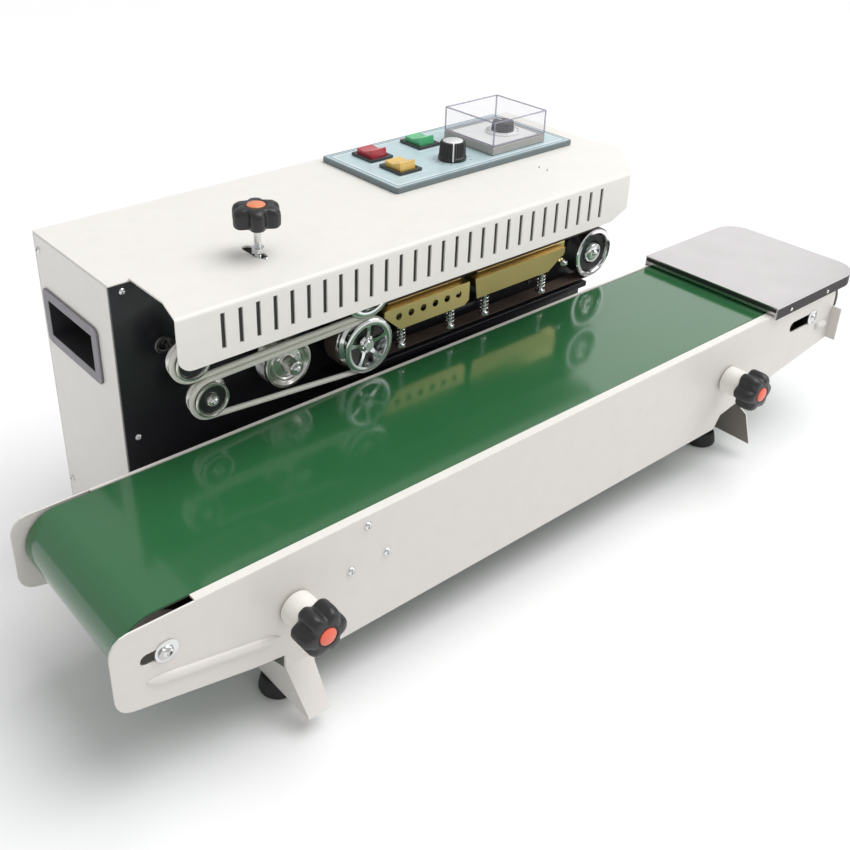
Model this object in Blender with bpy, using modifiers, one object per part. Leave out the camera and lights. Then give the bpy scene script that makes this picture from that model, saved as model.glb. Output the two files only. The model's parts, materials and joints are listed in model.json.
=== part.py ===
"""Continuous band sealer: a tabletop machine that carries a bag along a belt conveyor
while heated and cooled sealing bands close its mouth.

Frame: millimetres in the constants below, metres in the scene. X runs along the conveyor
from the outfeed (left) to the infeed (right), Y from the operator to the housing's back,
Z up from the surface the machine stands on. The origin is at the centre of the base.
"""
import math

import bmesh
import bpy
from mathutils import Matrix, Vector

MM = 0.001
GAP = 0.3                    # air between pieces that touch on the real machine
SHEET = 1.5                  # folded sheet steel
WELD = 0.00001

# --- driving dimensions ---------------------------------------------------------------
HALF_LENGTH = 421.0
HALF_DEPTH = 181.0
TOTAL_HEIGHT = 319.5

CONVEYOR_FRONT = -141.0      # outer face of the front side plate
CONVEYOR_REAR = 8.0          # outer face of the rear side plate
CONVEYOR_TOP = 144.0
CONVEYOR_FLOOR = 43.0        # lower edge of the side plates
BELT_TOP = 143.6
BELT_THICKNESS = 2.0
BELT_SIDES = (-132.5, 4.4)
ROLLER_RADIUS = 25.0
ROLLER_X = 386.0
PLATE_LEFT = -HALF_LENGTH
PLATE_RIGHT = 389.0
TAPER_START = (-266.0, 206.0)
HEIGHT_TRAVEL = 20.0

HOUSING_LEFT, HOUSING_RIGHT = -310.0, 214.5
HOUSING_BACK = 177.0
WALL_FRONT = 47.0
HOUSING_FLOOR = 14.0
HOUSING_TOP = 276.0

GUARD_FRONT = -31.0
GUARD_SKIRT = 235.0
LOUVRE_COUNT = 28
LOUVRE_SPAN = (-263.0, 134.5)
LOUVRE_HEIGHT = (243.7, 271.5)
LOUVRE_WIDTH = 3.7

SEAL_LINE = 198.2            # height at which the upper and lower bands meet
DRUM_RADIUS = 25.0
BAND_THICKNESS = 0.7
BAND_SIDES = (24.0, 39.0)
DRIVE_X, DRIVEN_X = -99.0, 201.0
EMBOSSING_X = -173.0
EMBOSSING_RADIUS = 22.2
GUIDE_THICKNESS = 4.8         # square section standing for the round guide belt
GUIDE_SIDES = (12.0, 16.8)
GUIDE_BIG_RADIUS = 21.2       # guide belt's inner radius on the drive wheel
GUIDE_SMALL_RADIUS = 13.6     # and on the guide pulley
PULLEY_LOWER_X, PULLEY_UPPER_X = -252.0, -266.0
PULLEY_DROP = 3.0             # the guide belts meet this far below the seal line at the pulleys
SHAFT_RADIUS = 4.0
SHAFT_END = 53.0

GEAR_TEETH = 24
GEAR_SIDES = (56.0, 64.0)

CLAMP_HEIGHT = 98.0
CLAMP_X = (-285.0, 212.0)
FOOT_HEIGHT = 13.7

PANEL = ((-29.0, 60.0), (195.0, 169.0))
PANEL_TOP = 281.0
ROCKER_CENTRES = {"heater": (8.0, 140.0), "fan": (7.0, 98.0), "conveyor": (68.0, 141.0)}
SPEED_CENTRE = (63.0, 90.0)
CONTROLLER = ((98.0, 72.0), (168.0, 140.0))
DIAL_CENTRE = (141.0, 103.0)
PRESSURE_CENTRE = (-196.0, 25.0)

# --- derived --------------------------------------------------------------------------
BELT_RADIUS = ROLLER_RADIUS + BELT_THICKNESS + GAP
ROLLER_Z = BELT_TOP - BELT_RADIUS
BAND_RADIUS = DRUM_RADIUS + GAP + BAND_THICKNESS
WHEEL_LOWER_Z = SEAL_LINE - GAP / 2 - BAND_RADIUS
WHEEL_UPPER_Z = SEAL_LINE + GAP / 2 + BAND_RADIUS
EMBOSSING_LOWER_Z = SEAL_LINE - GAP / 2 - EMBOSSING_RADIUS
EMBOSSING_UPPER_Z = SEAL_LINE + GAP / 2 + EMBOSSING_RADIUS
PULLEY_REACH = GUIDE_SMALL_RADIUS + GUIDE_THICKNESS
PULLEY_LOWER_Z = SEAL_LINE - GAP / 2 - PULLEY_REACH - PULLEY_DROP
PULLEY_UPPER_Z = SEAL_LINE + GAP / 2 + PULLEY_REACH - PULLEY_DROP


# --- scene and collections ------------------------------------------------------------
for leftover in list(bpy.data.objects):
    bpy.data.objects.remove(leftover, do_unlink=True)

machine = bpy.data.collections.new("band_sealer")
cutters = bpy.data.collections.new("cutters")
for collection in (machine, cutters):
    bpy.context.scene.collection.children.link(collection)


def finish(name, color, roughness, metallic=0.0):
    """A Principled BSDF with one colour."""
    made = bpy.data.materials.new(name)
    made.use_nodes = True
    shader = made.node_tree.nodes["Principled BSDF"]
    shader.inputs["Base Color"].default_value = (*color, 1.0)
    shader.inputs["Roughness"].default_value = roughness
    shader.inputs["Metallic"].default_value = metallic
    return made


CREAM = finish("cream_powder_coat", (0.80, 0.77, 0.71), 0.45)
BLACK_SHEET = finish("black_powder_coat", (0.015, 0.015, 0.018), 0.5)
GREEN_BELT = finish("green_pvc", (0.02, 0.12, 0.04), 0.2)
STEEL = finish("brushed_steel", (0.62, 0.62, 0.62), 0.35, 1.0)
CHROME = finish("chrome", (0.75, 0.76, 0.77), 0.12, 1.0)
BRASS = finish("brass", (0.62, 0.47, 0.20), 0.35, 1.0)
ALUMINIUM = finish("aluminium", (0.66, 0.66, 0.67), 0.4, 1.0)
RUBBER = finish("black_rubber", (0.02, 0.02, 0.02), 0.8)
BLACK_PLASTIC = finish("black_plastic", (0.02, 0.02, 0.022), 0.35)
GREY_PLASTIC = finish("grey_plastic", (0.32, 0.32, 0.36), 0.5)
PALE_GREY = finish("pale_grey_plastic", (0.55, 0.55, 0.53), 0.45)
PANEL_BLUE = finish("panel_blue", (0.56, 0.66, 0.70), 0.4)
BAND = finish("ptfe_band", (0.45, 0.33, 0.20), 0.4)
URETHANE = finish("cream_urethane", (0.75, 0.72, 0.62), 0.5)
RED = finish("red_rocker", (0.60, 0.03, 0.05), 0.3)
YELLOW = finish("yellow_rocker", (0.85, 0.55, 0.08), 0.3)
GREEN = finish("green_rocker", (0.05, 0.55, 0.20), 0.3)
CLEAR = finish("clear_acrylic", (0.85, 0.86, 0.90), 0.05)


# --- shape helpers --------------------------------------------------------------------
def place(name, mesh, surface, collection=machine, origin=(0, 0, 0)):
    """Make an object whose mesh is given in machine millimetres and whose origin is `origin`."""
    mesh.transform(Matrix.Scale(MM, 4) @ Matrix.Translation(-Vector(origin)))
    made = bpy.data.objects.new(name, mesh)
    made.location = Vector(origin) * MM
    if surface:
        mesh.materials.append(surface)
    collection.objects.link(made)
    if collection is cutters:
        made.hide_render = True
        made.display_type = "WIRE"
    return made


def mesh_from(build, name):
    """Run `build` on an empty bmesh and return it as a mesh."""
    work = bmesh.new()
    build(work)
    bmesh.ops.recalc_face_normals(work, faces=work.faces)
    mesh = bpy.data.meshes.new(name)
    work.to_mesh(mesh)
    work.free()
    return mesh


def box_mesh(name, low, high):
    """A box between two corners."""
    def build(work):
        size = [b - a for a, b in zip(low, high)]
        middle = [(a + b) / 2 for a, b in zip(low, high)]
        bmesh.ops.create_cube(work, size=1.0,
                              matrix=Matrix.Translation(middle) @ Matrix.Diagonal((*size, 1)))
    return mesh_from(build, name)


def box(name, low, high, surface=None, collection=machine, origin=(0, 0, 0)):
    return place(name, box_mesh(name, low, high), surface, collection, origin)


def rod(name, start, length, radius, axis, surface=None, collection=machine, origin=(0, 0, 0), sides=20):
    """A cylinder that begins at `start` and runs along one axis."""
    turn = {"X": Matrix.Rotation(math.pi / 2, 4, "Y"), "Y": Matrix.Rotation(-math.pi / 2, 4, "X"),
            "Z": Matrix.Identity(4)}[axis]

    def build(work):
        shift = Matrix.Translation(start) @ turn @ Matrix.Translation((0, 0, length / 2))
        bmesh.ops.create_cone(work, cap_ends=True, segments=sides, radius1=radius, radius2=radius,
                              depth=length, matrix=shift)
    return place(name, mesh_from(build, name), surface, collection, origin)


def smooth(made, angle=35):
    made.data.shade_smooth()
    made.data.set_sharp_from_angle(angle=math.radians(angle))
    return made


def turned(name, profile, centre, surface, axis="Y", steps=32):
    """Turn a profile of (radius, height) points about an axis through `centre`.

    The profile starts and ends on the axis. Heights are machine coordinates along that axis,
    so `centre` gives only the other two."""
    work = bmesh.new()
    points = [work.verts.new((radius * MM, 0, height * MM)) for radius, height in profile]
    for pair in zip(points, points[1:]):
        work.edges.new(pair)
    mesh = bpy.data.meshes.new(name)
    work.to_mesh(mesh)
    work.free()
    made = bpy.data.objects.new(name, mesh)
    mesh.materials.append(surface)
    machine.objects.link(made)
    if axis == "Y":
        made.location = (centre[0] * MM, 0, centre[1] * MM)
        made.rotation_euler = (-math.pi / 2, 0, 0)
    else:
        made.location = (centre[0] * MM, centre[1] * MM, 0)
    screw = made.modifiers.new("turn", "SCREW")
    screw.axis = "Z"
    screw.steps = steps
    screw.render_steps = steps
    screw.use_merge_vertices = True
    screw.merge_threshold = WELD
    screw.use_smooth_shade = True
    return made


def outline_mesh(name, loops, low, high, plane):
    """A flat shape with holes, between two heights along the plane's normal.

    plane XZ takes (x, z) points and spans y; YZ takes (y, z) and spans x; XY takes (x, y)."""
    curve = bpy.data.curves.new(name, "CURVE")
    curve.dimensions = "2D"
    curve.fill_mode = "BOTH"
    curve.extrude = (high - low) / 2
    for loop in loops:
        spline = curve.splines.new("POLY")
        spline.points.add(len(loop) - 1)
        for point, (u, v) in zip(spline.points, loop):
            point.co = (u, v, 0, 1)
        spline.use_cyclic_u = True
    drawn = bpy.data.objects.new(name, curve)
    bpy.context.scene.collection.objects.link(drawn)
    depsgraph = bpy.context.evaluated_depsgraph_get()
    mesh = bpy.data.meshes.new_from_object(drawn.evaluated_get(depsgraph))
    bpy.data.objects.remove(drawn, do_unlink=True)
    columns = {"XZ": ((1, 0, 0), (0, 0, 1), (0, -1, 0)), "YZ": ((0, 1, 0), (0, 0, 1), (1, 0, 0)),
               "XY": ((1, 0, 0), (0, 1, 0), (0, 0, 1))}[plane]
    turn = Matrix(columns).transposed().to_4x4()
    normal = {"XZ": (0, 1, 0), "YZ": (1, 0, 0), "XY": (0, 0, 1)}[plane]
    mesh.transform(Matrix.Translation(Vector(normal) * (low + high) / 2) @ turn)
    work = bmesh.new()
    work.from_mesh(mesh)
    bmesh.ops.remove_doubles(work, verts=work.verts, dist=0.01)
    bmesh.ops.recalc_face_normals(work, faces=work.faces)
    work.to_mesh(mesh)
    work.free()
    return mesh


def outline(name, loops, low, high, plane, surface=None, collection=machine, origin=(0, 0, 0)):
    return place(name, outline_mesh(name, loops, low, high, plane), surface, collection, origin)


def boolean(made, tool, operation):
    modifier = made.modifiers.new(operation.lower(), "BOOLEAN")
    modifier.operation = operation
    modifier.object = tool
    modifier.solver = "EXACT"


def cut(made, *tools):
    for tool in tools:
        boolean(made, tool, "DIFFERENCE")
    return made


def join(made, *tools):
    for tool in tools:
        boolean(made, tool, "UNION")
    return made


def arc(centre, radius, start, end, count):
    """Points on an arc, from one angle to another in degrees, both ends included."""
    angles = [math.radians(start + (end - start) * i / count) for i in range(count + 1)]
    return [(centre[0] + radius * math.cos(a), centre[1] + radius * math.sin(a)) for a in angles]


def circle(centre, radius, count=16):
    return arc(centre, radius, 0, 360, count)[:-1]


def slot(start, end, radius, count=6):
    """A slot with round ends between two centres."""
    heading = math.degrees(math.atan2(end[1] - start[1], end[0] - start[0]))
    return (arc(end, radius, heading - 90, heading + 90, count)
            + arc(start, radius, heading + 90, heading + 270, count))


def rectangle(low, high):
    return [(low[0], low[1]), (high[0], low[1]), (high[0], high[1]), (low[0], high[1])]


def rounded(low, high, radius, count=3):
    """A rectangle with rounded corners."""
    (x0, y0), (x1, y1) = low, high
    return (arc((x1 - radius, y0 + radius), radius, -90, 0, count)
            + arc((x1 - radius, y1 - radius), radius, 0, 90, count)
            + arc((x0 + radius, y1 - radius), radius, 90, 180, count)
            + arc((x0 + radius, y0 + radius), radius, 180, 270, count))


def loop_round(first, first_radius, second, second_radius, count=16):
    """The closed line of a belt round two circles, the first left of the second."""
    along = Vector(second) - Vector(first)
    lean = math.degrees(math.asin((second_radius - first_radius) / along.length))
    heading = math.degrees(math.atan2(along.y, along.x))
    up, down = heading + 90 + lean, heading - 90 - lean
    return arc(second, second_radius, down, up, count) + arc(first, first_radius, up, down + 360, count)


def lobed(centre, radius, depth, lobes=6, count=48):
    """A hand knob's outline: a circle whose radius swings between `radius` and `radius - depth`."""
    points = []
    for i in range(count):
        angle = 2 * math.pi * i / count
        reach = radius - depth * (0.5 - 0.5 * math.cos(lobes * angle)) ** 2
        points.append((centre[0] + reach * math.cos(angle), centre[1] + reach * math.sin(angle)))
    return points


# --- conveyor -------------------------------------------------------------------------
def side_plate_outline():
    """The side plate seen from the front, without its folded flanges."""
    top = CONVEYOR_TOP - 0.4
    left_foot, right_foot = 94.0, 84.0
    corner = 14.0
    return ([(TAPER_START[0], CONVEYOR_FLOOR), (TAPER_START[1], CONVEYOR_FLOOR), (TAPER_START[1] + 8, 56.0),
             (300.0, 71.0), (PLATE_RIGHT, right_foot)]
            + arc((PLATE_RIGHT - corner, top - corner), corner, 0, 90, 4)
            + arc((PLATE_LEFT + corner, top - corner), corner, 90, 180, 4)
            + arc((PLATE_LEFT + corner, left_foot), corner, 180, 258, 4)
            + [(-320.0, 61.0), (TAPER_START[0] - 6, 54.0)])


def side_plate(name, outer, inward, fold):
    """A conveyor side plate with `fold` mm wide flanges; `inward` is +1 when the belt lies towards +Y."""
    low, high = sorted((outer, outer + inward * SHEET))
    holes = [slot((-397.0, ROLLER_Z), (-383.0, ROLLER_Z), 4.6),
             slot((317.0, ROLLER_Z + 2), (352.0, ROLLER_Z + 2), 5.8)]
    if inward > 0:
        holes += [circle((x, CLAMP_HEIGHT), 3.6) for x in CLAMP_X]
    plate = outline(name, [side_plate_outline(), *holes], low, high, "XZ", CREAM)
    lip = sorted((outer + inward * 0.2, outer + inward * fold))
    flange = box(name + "_flange", (-360.0, lip[0], CONVEYOR_TOP - SHEET), (300.0, lip[1], CONVEYOR_TOP),
                 collection=cutters)
    foot = box(name + "_foot", (TAPER_START[0] + 3, lip[0], CONVEYOR_FLOOR - 0.2),
               (TAPER_START[1] - 10, lip[1], CONVEYOR_FLOOR + SHEET), collection=cutters)
    ear = sorted((outer + inward * 0.7, outer - inward * 10.0))
    end = box(name + "_ear", (PLATE_RIGHT - SHEET, ear[0], 84.6), (PLATE_RIGHT + 0.1, ear[1], 120.0),
              collection=cutters)
    return join(plate, flange, foot, end)


side_plate("conveyor_side_front", CONVEYOR_FRONT, 1, 7.5)
side_plate("conveyor_side_rear", CONVEYOR_REAR, -1, 3.0)

BED_SIDES = (CONVEYOR_FRONT + SHEET + GAP, CONVEYOR_REAR - SHEET - GAP)
BED_TOP = BELT_TOP - BELT_THICKNESS - GAP
bed = box("conveyor_bed", (-350, BED_SIDES[0], BED_TOP - SHEET), (350, BED_SIDES[1], BED_TOP), STEEL)
join(bed, *[box(f"bed_rib_{i}", (x - 10, BELT_SIDES[0], 122), (x + 10, BELT_SIDES[1], BED_TOP - 0.4),
                collection=cutters) for i, x in enumerate((-240, 0, 240))])

belt_loops = [loop_round((-ROLLER_X, ROLLER_Z), radius, (ROLLER_X, ROLLER_Z), radius)
              for radius in (BELT_RADIUS, BELT_RADIUS - BELT_THICKNESS)]
smooth(outline("conveyor_belt", belt_loops, *BELT_SIDES, "XZ", GREEN_BELT))

for name, x, front_end, rear_end in (("drive_roller", -ROLLER_X, CONVEYOR_FRONT - 3, CONVEYOR_REAR - 0.5),
                                     ("idler_roller", ROLLER_X, *BED_SIDES)):
    turned(name, [(0, rear_end), (SHAFT_RADIUS, rear_end), (SHAFT_RADIUS, BELT_SIDES[1] - 1),
                  (ROLLER_RADIUS, BELT_SIDES[1] - 1), (ROLLER_RADIUS, BELT_SIDES[0] + 1),
                  (SHAFT_RADIUS, BELT_SIDES[0] + 1), (SHAFT_RADIUS, front_end), (0, front_end)],
           (x, ROLLER_Z), STEEL)

TABLE = ((273.0, -145.0), (HALF_LENGTH, 10.5))
TABLE_TOP = 153.5
TABLE_SKIRT = 141.0
TABLE_CORNER = 25.0


def infeed_table():
    """The stainless plate ahead of the belt: a sheet with its long edges folded down."""
    plan = rectangle(TABLE[0], TABLE[1])[:1]
    end, turn = TABLE[1][0] - TABLE_CORNER, TABLE[0][1] + TABLE_CORNER
    plan += arc((end, turn), TABLE_CORNER, -90, 0, 8)
    plan += arc((TABLE[1][0] - TABLE_CORNER, TABLE[1][1] - TABLE_CORNER), TABLE_CORNER, 0, 90, 8)
    plan += [(TABLE[0][0], TABLE[1][1])]
    table = outline("infeed_table", [plan], TABLE_TOP - 1.4, TABLE_TOP, "XY", STEEL)
    front = ([(TABLE[0][0] + 0.2, TABLE[0][1] + 0.1)] + arc((end, turn), TABLE_CORNER - 0.1, -90, -34, 5)
             + arc((end, turn), TABLE_CORNER - 1.6, -34, -90, 5) + [(TABLE[0][0] + 0.2, TABLE[0][1] + 1.6)])
    skirts = [outline("table_skirt_front", [front], TABLE_SKIRT, TABLE_TOP - 0.5, "XY", collection=cutters),
              box("table_skirt_rear", (TABLE[0][0] + 0.2, TABLE[1][1] - 1.6, TABLE_SKIRT),
                  (end, TABLE[1][1] - 0.1, TABLE_TOP - 0.5), collection=cutters),
              box("table_lip", (TABLE[0][0] + 0.1, TABLE[0][1] + 0.5, BELT_TOP + 1.6),
                  (TABLE[0][0] + 1.5, TABLE[1][1] - 0.5, TABLE_TOP - 0.6), collection=cutters)]
    join(table, *skirts)


infeed_table()

CLAMP_FACE = -HALF_DEPTH
CLAMP_THICKNESS = 20.5
for side, x in zip(("left", "right"), CLAMP_X):
    here = (x, 0, CLAMP_HEIGHT)
    knob = outline(f"clamp_knob_{side}", [lobed((x, CLAMP_HEIGHT), 18.8, 4.6)], CLAMP_FACE,
                   CLAMP_FACE + CLAMP_THICKNESS, "XZ", BLACK_PLASTIC, origin=here)
    smooth(knob, 50)
    hub = rod(f"clamp_hub_{side}", (x, CLAMP_FACE + 16, CLAMP_HEIGHT), 23.6, 13.0, "Y", collection=cutters)
    stud = rod(f"clamp_stud_{side}", (x, CLAMP_FACE + 39, CLAMP_HEIGHT), 8.3, 3.0, "Y", collection=cutters)
    join(knob, hub, stud)


# --- base, arms and feet --------------------------------------------------------------
tray = box("base_tray", (HOUSING_LEFT + SHEET + GAP, WALL_FRONT + 2.3, HOUSING_FLOOR),
           (HOUSING_RIGHT - SHEET - GAP, HOUSING_BACK - SHEET - GAP, HOUSING_FLOOR + 16), CREAM)
cut(tray, box("tray_hollow", (HOUSING_LEFT + 2 * SHEET + GAP, WALL_FRONT + 3.8, HOUSING_FLOOR + SHEET),
              (HOUSING_RIGHT - 2 * SHEET - GAP, HOUSING_BACK - 2 * SHEET - GAP, HOUSING_FLOOR + 20),
              collection=cutters))


def height_slot(arm, x):
    """Cut the slot that a clamp knob's stud slides in."""
    travel = slot((x, CLAMP_HEIGHT), (x, CLAMP_HEIGHT + HEIGHT_TRAVEL), 3.8)
    cut(arm, outline(arm.name + "_slot", [travel], -145, -130, "XZ", collection=cutters))


def left_arm():
    """An open channel that carries the conveyor, with its front flared outwards."""
    web_x, end = -293.5, -268.0
    upright = [(-139.2, 130), (-139.2, 43), (-167, 15.2), (-165.8, HOUSING_FLOOR), (-139.2, 40.6),
               (-139.2, HOUSING_FLOOR), (-137.2, HOUSING_FLOOR), (-137.2, 130)]
    arm = outline("support_arm_left", [upright], web_x + 0.2, end, "YZ", CREAM)
    side = [(-166.0, HOUSING_FLOOR + 0.1), (WALL_FRONT - GAP, HOUSING_FLOOR + 0.1), (WALL_FRONT - GAP, 36),
            (-118, 36), (-136, 42), (-138.8, 42)]
    join(arm, outline("left_arm_web", [side], web_x, web_x + SHEET, "YZ", collection=cutters),
         box("left_arm_floor", (web_x + 1.0, -138.5, HOUSING_FLOOR + 0.2),
             (end - 0.2, WALL_FRONT - 2 * GAP, HOUSING_FLOOR + 1.8), collection=cutters))
    taper = [(end + 3, 8), (end - 8, 8), (end - 2.5, 41), (end + 3, 41)]
    cut(arm, outline("left_arm_taper", [taper], -175, -139.5, "XZ", collection=cutters))
    height_slot(arm, CLAMP_X[0])


def right_arm():
    """A deep web with a front plate above the conveyor's lower edge and a floor beside the housing."""
    web_x, end = 254.0, 200.0
    side = [(-155, HOUSING_FLOOR + 0.1), (WALL_FRONT - GAP, HOUSING_FLOOR + 0.1), (WALL_FRONT - GAP, 30),
            (-112, 30), (-126, 44), (-126, 60), (-134, 70), (-134, 130), (-139.2, 130), (-139.2, 48), (-146, 44)]
    arm = outline("support_arm_right", [side], web_x - SHEET, web_x, "YZ", CREAM)
    join(arm, box("right_arm_plate", (end, -139.0, 68), (web_x - 0.5, -137.0, 129.8), collection=cutters),
         box("right_arm_floor", (end, -110, HOUSING_FLOOR + 0.2),
             (web_x - 0.5, WALL_FRONT - 2 * GAP, HOUSING_FLOOR + 1.8), collection=cutters))
    height_slot(arm, CLAMP_X[1])


left_arm()
right_arm()

FOOT_PLACES = {"front_left": (-284.5, -115), "front_right": (239, -109),
               "rear_left": (-284, 158), "rear_right": (190, 158)}
for corner_name, spot in FOOT_PLACES.items():
    turned(f"foot_{corner_name}", [(0, FOOT_HEIGHT), (12.5, FOOT_HEIGHT), (15, 2), (14, 0), (0, 0)],
           spot, RUBBER, "Z", 20)


# --- housing --------------------------------------------------------------------------
TOP_PLAN = rectangle((HOUSING_LEFT, WALL_FRONT), (HOUSING_RIGHT + 7.5, HOUSING_BACK))
TOP_LOW = HOUSING_TOP - SHEET
WALL_TOP = TOP_LOW - GAP

shaft_places = [(DRIVE_X, WHEEL_LOWER_Z), (DRIVE_X, WHEEL_UPPER_Z), (DRIVEN_X, WHEEL_LOWER_Z),
                (DRIVEN_X, WHEEL_UPPER_Z), (EMBOSSING_X, EMBOSSING_LOWER_Z), (EMBOSSING_X, EMBOSSING_UPPER_Z),
                (PULLEY_LOWER_X, PULLEY_LOWER_Z), (PULLEY_UPPER_X, PULLEY_UPPER_Z)]
wall = outline("wall_plate", [rectangle((HOUSING_LEFT + 0.5, HOUSING_FLOOR), (HOUSING_RIGHT - 0.5, WALL_TOP)),
                              *[circle(spot, SHAFT_RADIUS + 0.5, 16) for spot in shaft_places]],
               WALL_FRONT, WALL_FRONT + 2, "XZ", BLACK_SHEET)
spindle_x, spindle_y = PRESSURE_CENTRE
lug = rectangle((spindle_x - 9, spindle_y - 8), (spindle_x + 9, WALL_FRONT + 1))
join(wall, outline("spindle_lug", [lug, circle(PRESSURE_CENTRE, 3.2, 14)], 262, 265, "XY", collection=cutters))

HANDLE_LOW, HANDLE_HIGH = (80.0, 187.0), (162.0, 224.0)
CHEEK = [rectangle((WALL_FRONT + 2.3, HOUSING_FLOOR), (HOUSING_BACK - SHEET - GAP, WALL_TOP)),
         rectangle(HANDLE_LOW, HANDLE_HIGH)]
outline("side_panel_left", CHEEK, HOUSING_LEFT, HOUSING_LEFT + SHEET, "YZ", CREAM)
outline("side_panel_right", CHEEK, HOUSING_RIGHT - SHEET, HOUSING_RIGHT, "YZ", CREAM)


def handle_cup(name, face, inward):
    """A recessed carrying handle: a flanged cup pushed into the side panel from outside."""
    bezel_out, bezel_in = face - inward * 2.2, face - inward * GAP
    (y0, z0), (y1, z1) = HANDLE_LOW, HANDLE_HIGH
    rim = outline(name, [rounded((y0 - 7, z0 - 6), (y1 + 7, z1 + 6), 5)], *sorted((bezel_out, bezel_in)), "YZ",
                  GREY_PLASTIC)
    depth = face + inward * 24
    cup = box(name + "_cup", (min(bezel_in - inward * 0.5, depth), y0 + 0.5, z0 + 0.5),
              (max(bezel_in - inward * 0.5, depth), y1 - 0.5, z1 - 0.5), collection=cutters)
    inner = face + inward * 22
    hollow = box(name + "_hollow", (min(bezel_out - inward * 2, inner), y0 + 3, z0 + 3),
                 (max(bezel_out - inward * 2, inner), y1 - 3, z1 - 3), collection=cutters)
    join(rim, cup)
    cut(rim, hollow)


handle_cup("handle_left", HOUSING_LEFT, 1)
handle_cup("handle_right", HOUSING_RIGHT, -1)

vents = [slot((x, 60), (x, 100), 2.5, 3) for x in range(40, 161, 15)]
INLET = ((-262.0, 40.0), (-214.0, 68.0))
outline("rear_cover", [rectangle((HOUSING_LEFT, HOUSING_FLOOR), (HOUSING_RIGHT, WALL_TOP)), *vents,
                       rectangle(INLET[0], INLET[1])],
        HOUSING_BACK - SHEET, HOUSING_BACK, "XZ", CREAM)
inlet = box("power_inlet", (INLET[0][0] + 0.5, 152, INLET[0][1] + 0.5),
            (INLET[1][0] - 0.5, HOUSING_BACK + 1, INLET[1][1] - 0.5), BLACK_PLASTIC)
join(inlet, box("inlet_flange", (INLET[0][0] - 8, HOUSING_BACK + GAP, INLET[0][1] - 3),
                (INLET[1][0] + 8, HALF_DEPTH, INLET[1][1] + 3), collection=cutters))
cut(inlet, box("inlet_socket", (-250, 160, 46), (-226, HALF_DEPTH + 5, 62), collection=cutters))

outline("top_cover", [TOP_PLAN, rectangle((-16, 74), (185, 158))], TOP_LOW, HOUSING_TOP, "XY", CREAM)


def belt_guard():
    """The louvred cover over the bands: a folded sheet with a shaped left end and a raked right end."""
    low, high = HOUSING_TOP + GAP, HOUSING_TOP + GAP + SHEET
    back = WALL_FRONT + 0.5
    turn = [(GUARD_FRONT, high - 3), *arc((GUARD_FRONT + 3, high - 3), 3, 180, 90, 3)[1:]]
    folded = [*turn, (back, high), (back, low), (GUARD_FRONT + SHEET, low), (GUARD_FRONT + SHEET, GUARD_SKIRT),
              (GUARD_FRONT, GUARD_SKIRT)]
    guard = outline("belt_guard", [folded], -301.0, 222.0, "YZ", CREAM)
    far = GUARD_FRONT - 10
    left = [(-310, far), (-301, far), (-300, GUARD_FRONT), (-293, -2), (-293, back + 5), (-310, back + 5)]
    right = [(173, far), (240, far), (240, back + 5), (222, back + 5), (222, 22), (173, GUARD_FRONT)]
    for label, plan in (("left", left), ("right", right)):
        cut(guard, outline(f"guard_end_{label}", [plan], 200, 300, "XY", collection=cutters))
    nose = 12
    corner = [(-305, GUARD_SKIRT - 5), (-300 + nose, GUARD_SKIRT - 5)]
    corner += arc((-300 + nose, GUARD_SKIRT + nose), nose, 270, 180, 5) + [(-305, GUARD_SKIRT + nose)]
    rake = [(147, GUARD_SKIRT - 2), (180, GUARD_SKIRT - 2), (180, 245.5), (173, 243.5)]
    cut(guard, outline("guard_corner", [corner], far, GUARD_FRONT + 20, "XZ", collection=cutters),
        outline("guard_rake", [rake], far, GUARD_FRONT + 20, "XZ", collection=cutters))
    step = (LOUVRE_SPAN[1] - LOUVRE_SPAN[0]) / (LOUVRE_COUNT - 1)
    louvres = [rectangle((LOUVRE_SPAN[0] + i * step - LOUVRE_WIDTH / 2, LOUVRE_HEIGHT[0]),
                         (LOUVRE_SPAN[0] + i * step + LOUVRE_WIDTH / 2, LOUVRE_HEIGHT[1]))
               for i in range(LOUVRE_COUNT)]
    cut(guard, outline("guard_louvres", louvres, far, GUARD_FRONT + 10, "XZ", collection=cutters))
    key = slot((PRESSURE_CENTRE[0], 20), (PRESSURE_CENTRE[0], 40), 4.5)
    cut(guard, outline("guard_slot", [key], 260, 300, "XY", collection=cutters))


belt_guard()

box("lower_ledge", (-125, 24, 136), (197, WALL_FRONT - GAP, 141.5), BLACK_SHEET)


# --- controls -------------------------------------------------------------------------
def opening(centre, half_x, half_y):
    return rectangle((centre[0] - half_x, centre[1] - half_y), (centre[0] + half_x, centre[1] + half_y))


BODY_HALF = 30.0
controller_centre = [(a + b) / 2 for a, b in zip(*CONTROLLER)]
outline("control_panel", [rounded(PANEL[0], PANEL[1], 3),
                          *[opening(spot, 11.5, 13.5) for spot in ROCKER_CENTRES.values()],
                          circle(SPEED_CENTRE, 4.5, 12),
                          opening(controller_centre, BODY_HALF + 0.5, BODY_HALF + 0.5)],
        HOUSING_TOP + GAP, PANEL_TOP, "XY", PANEL_BLUE)

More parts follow.
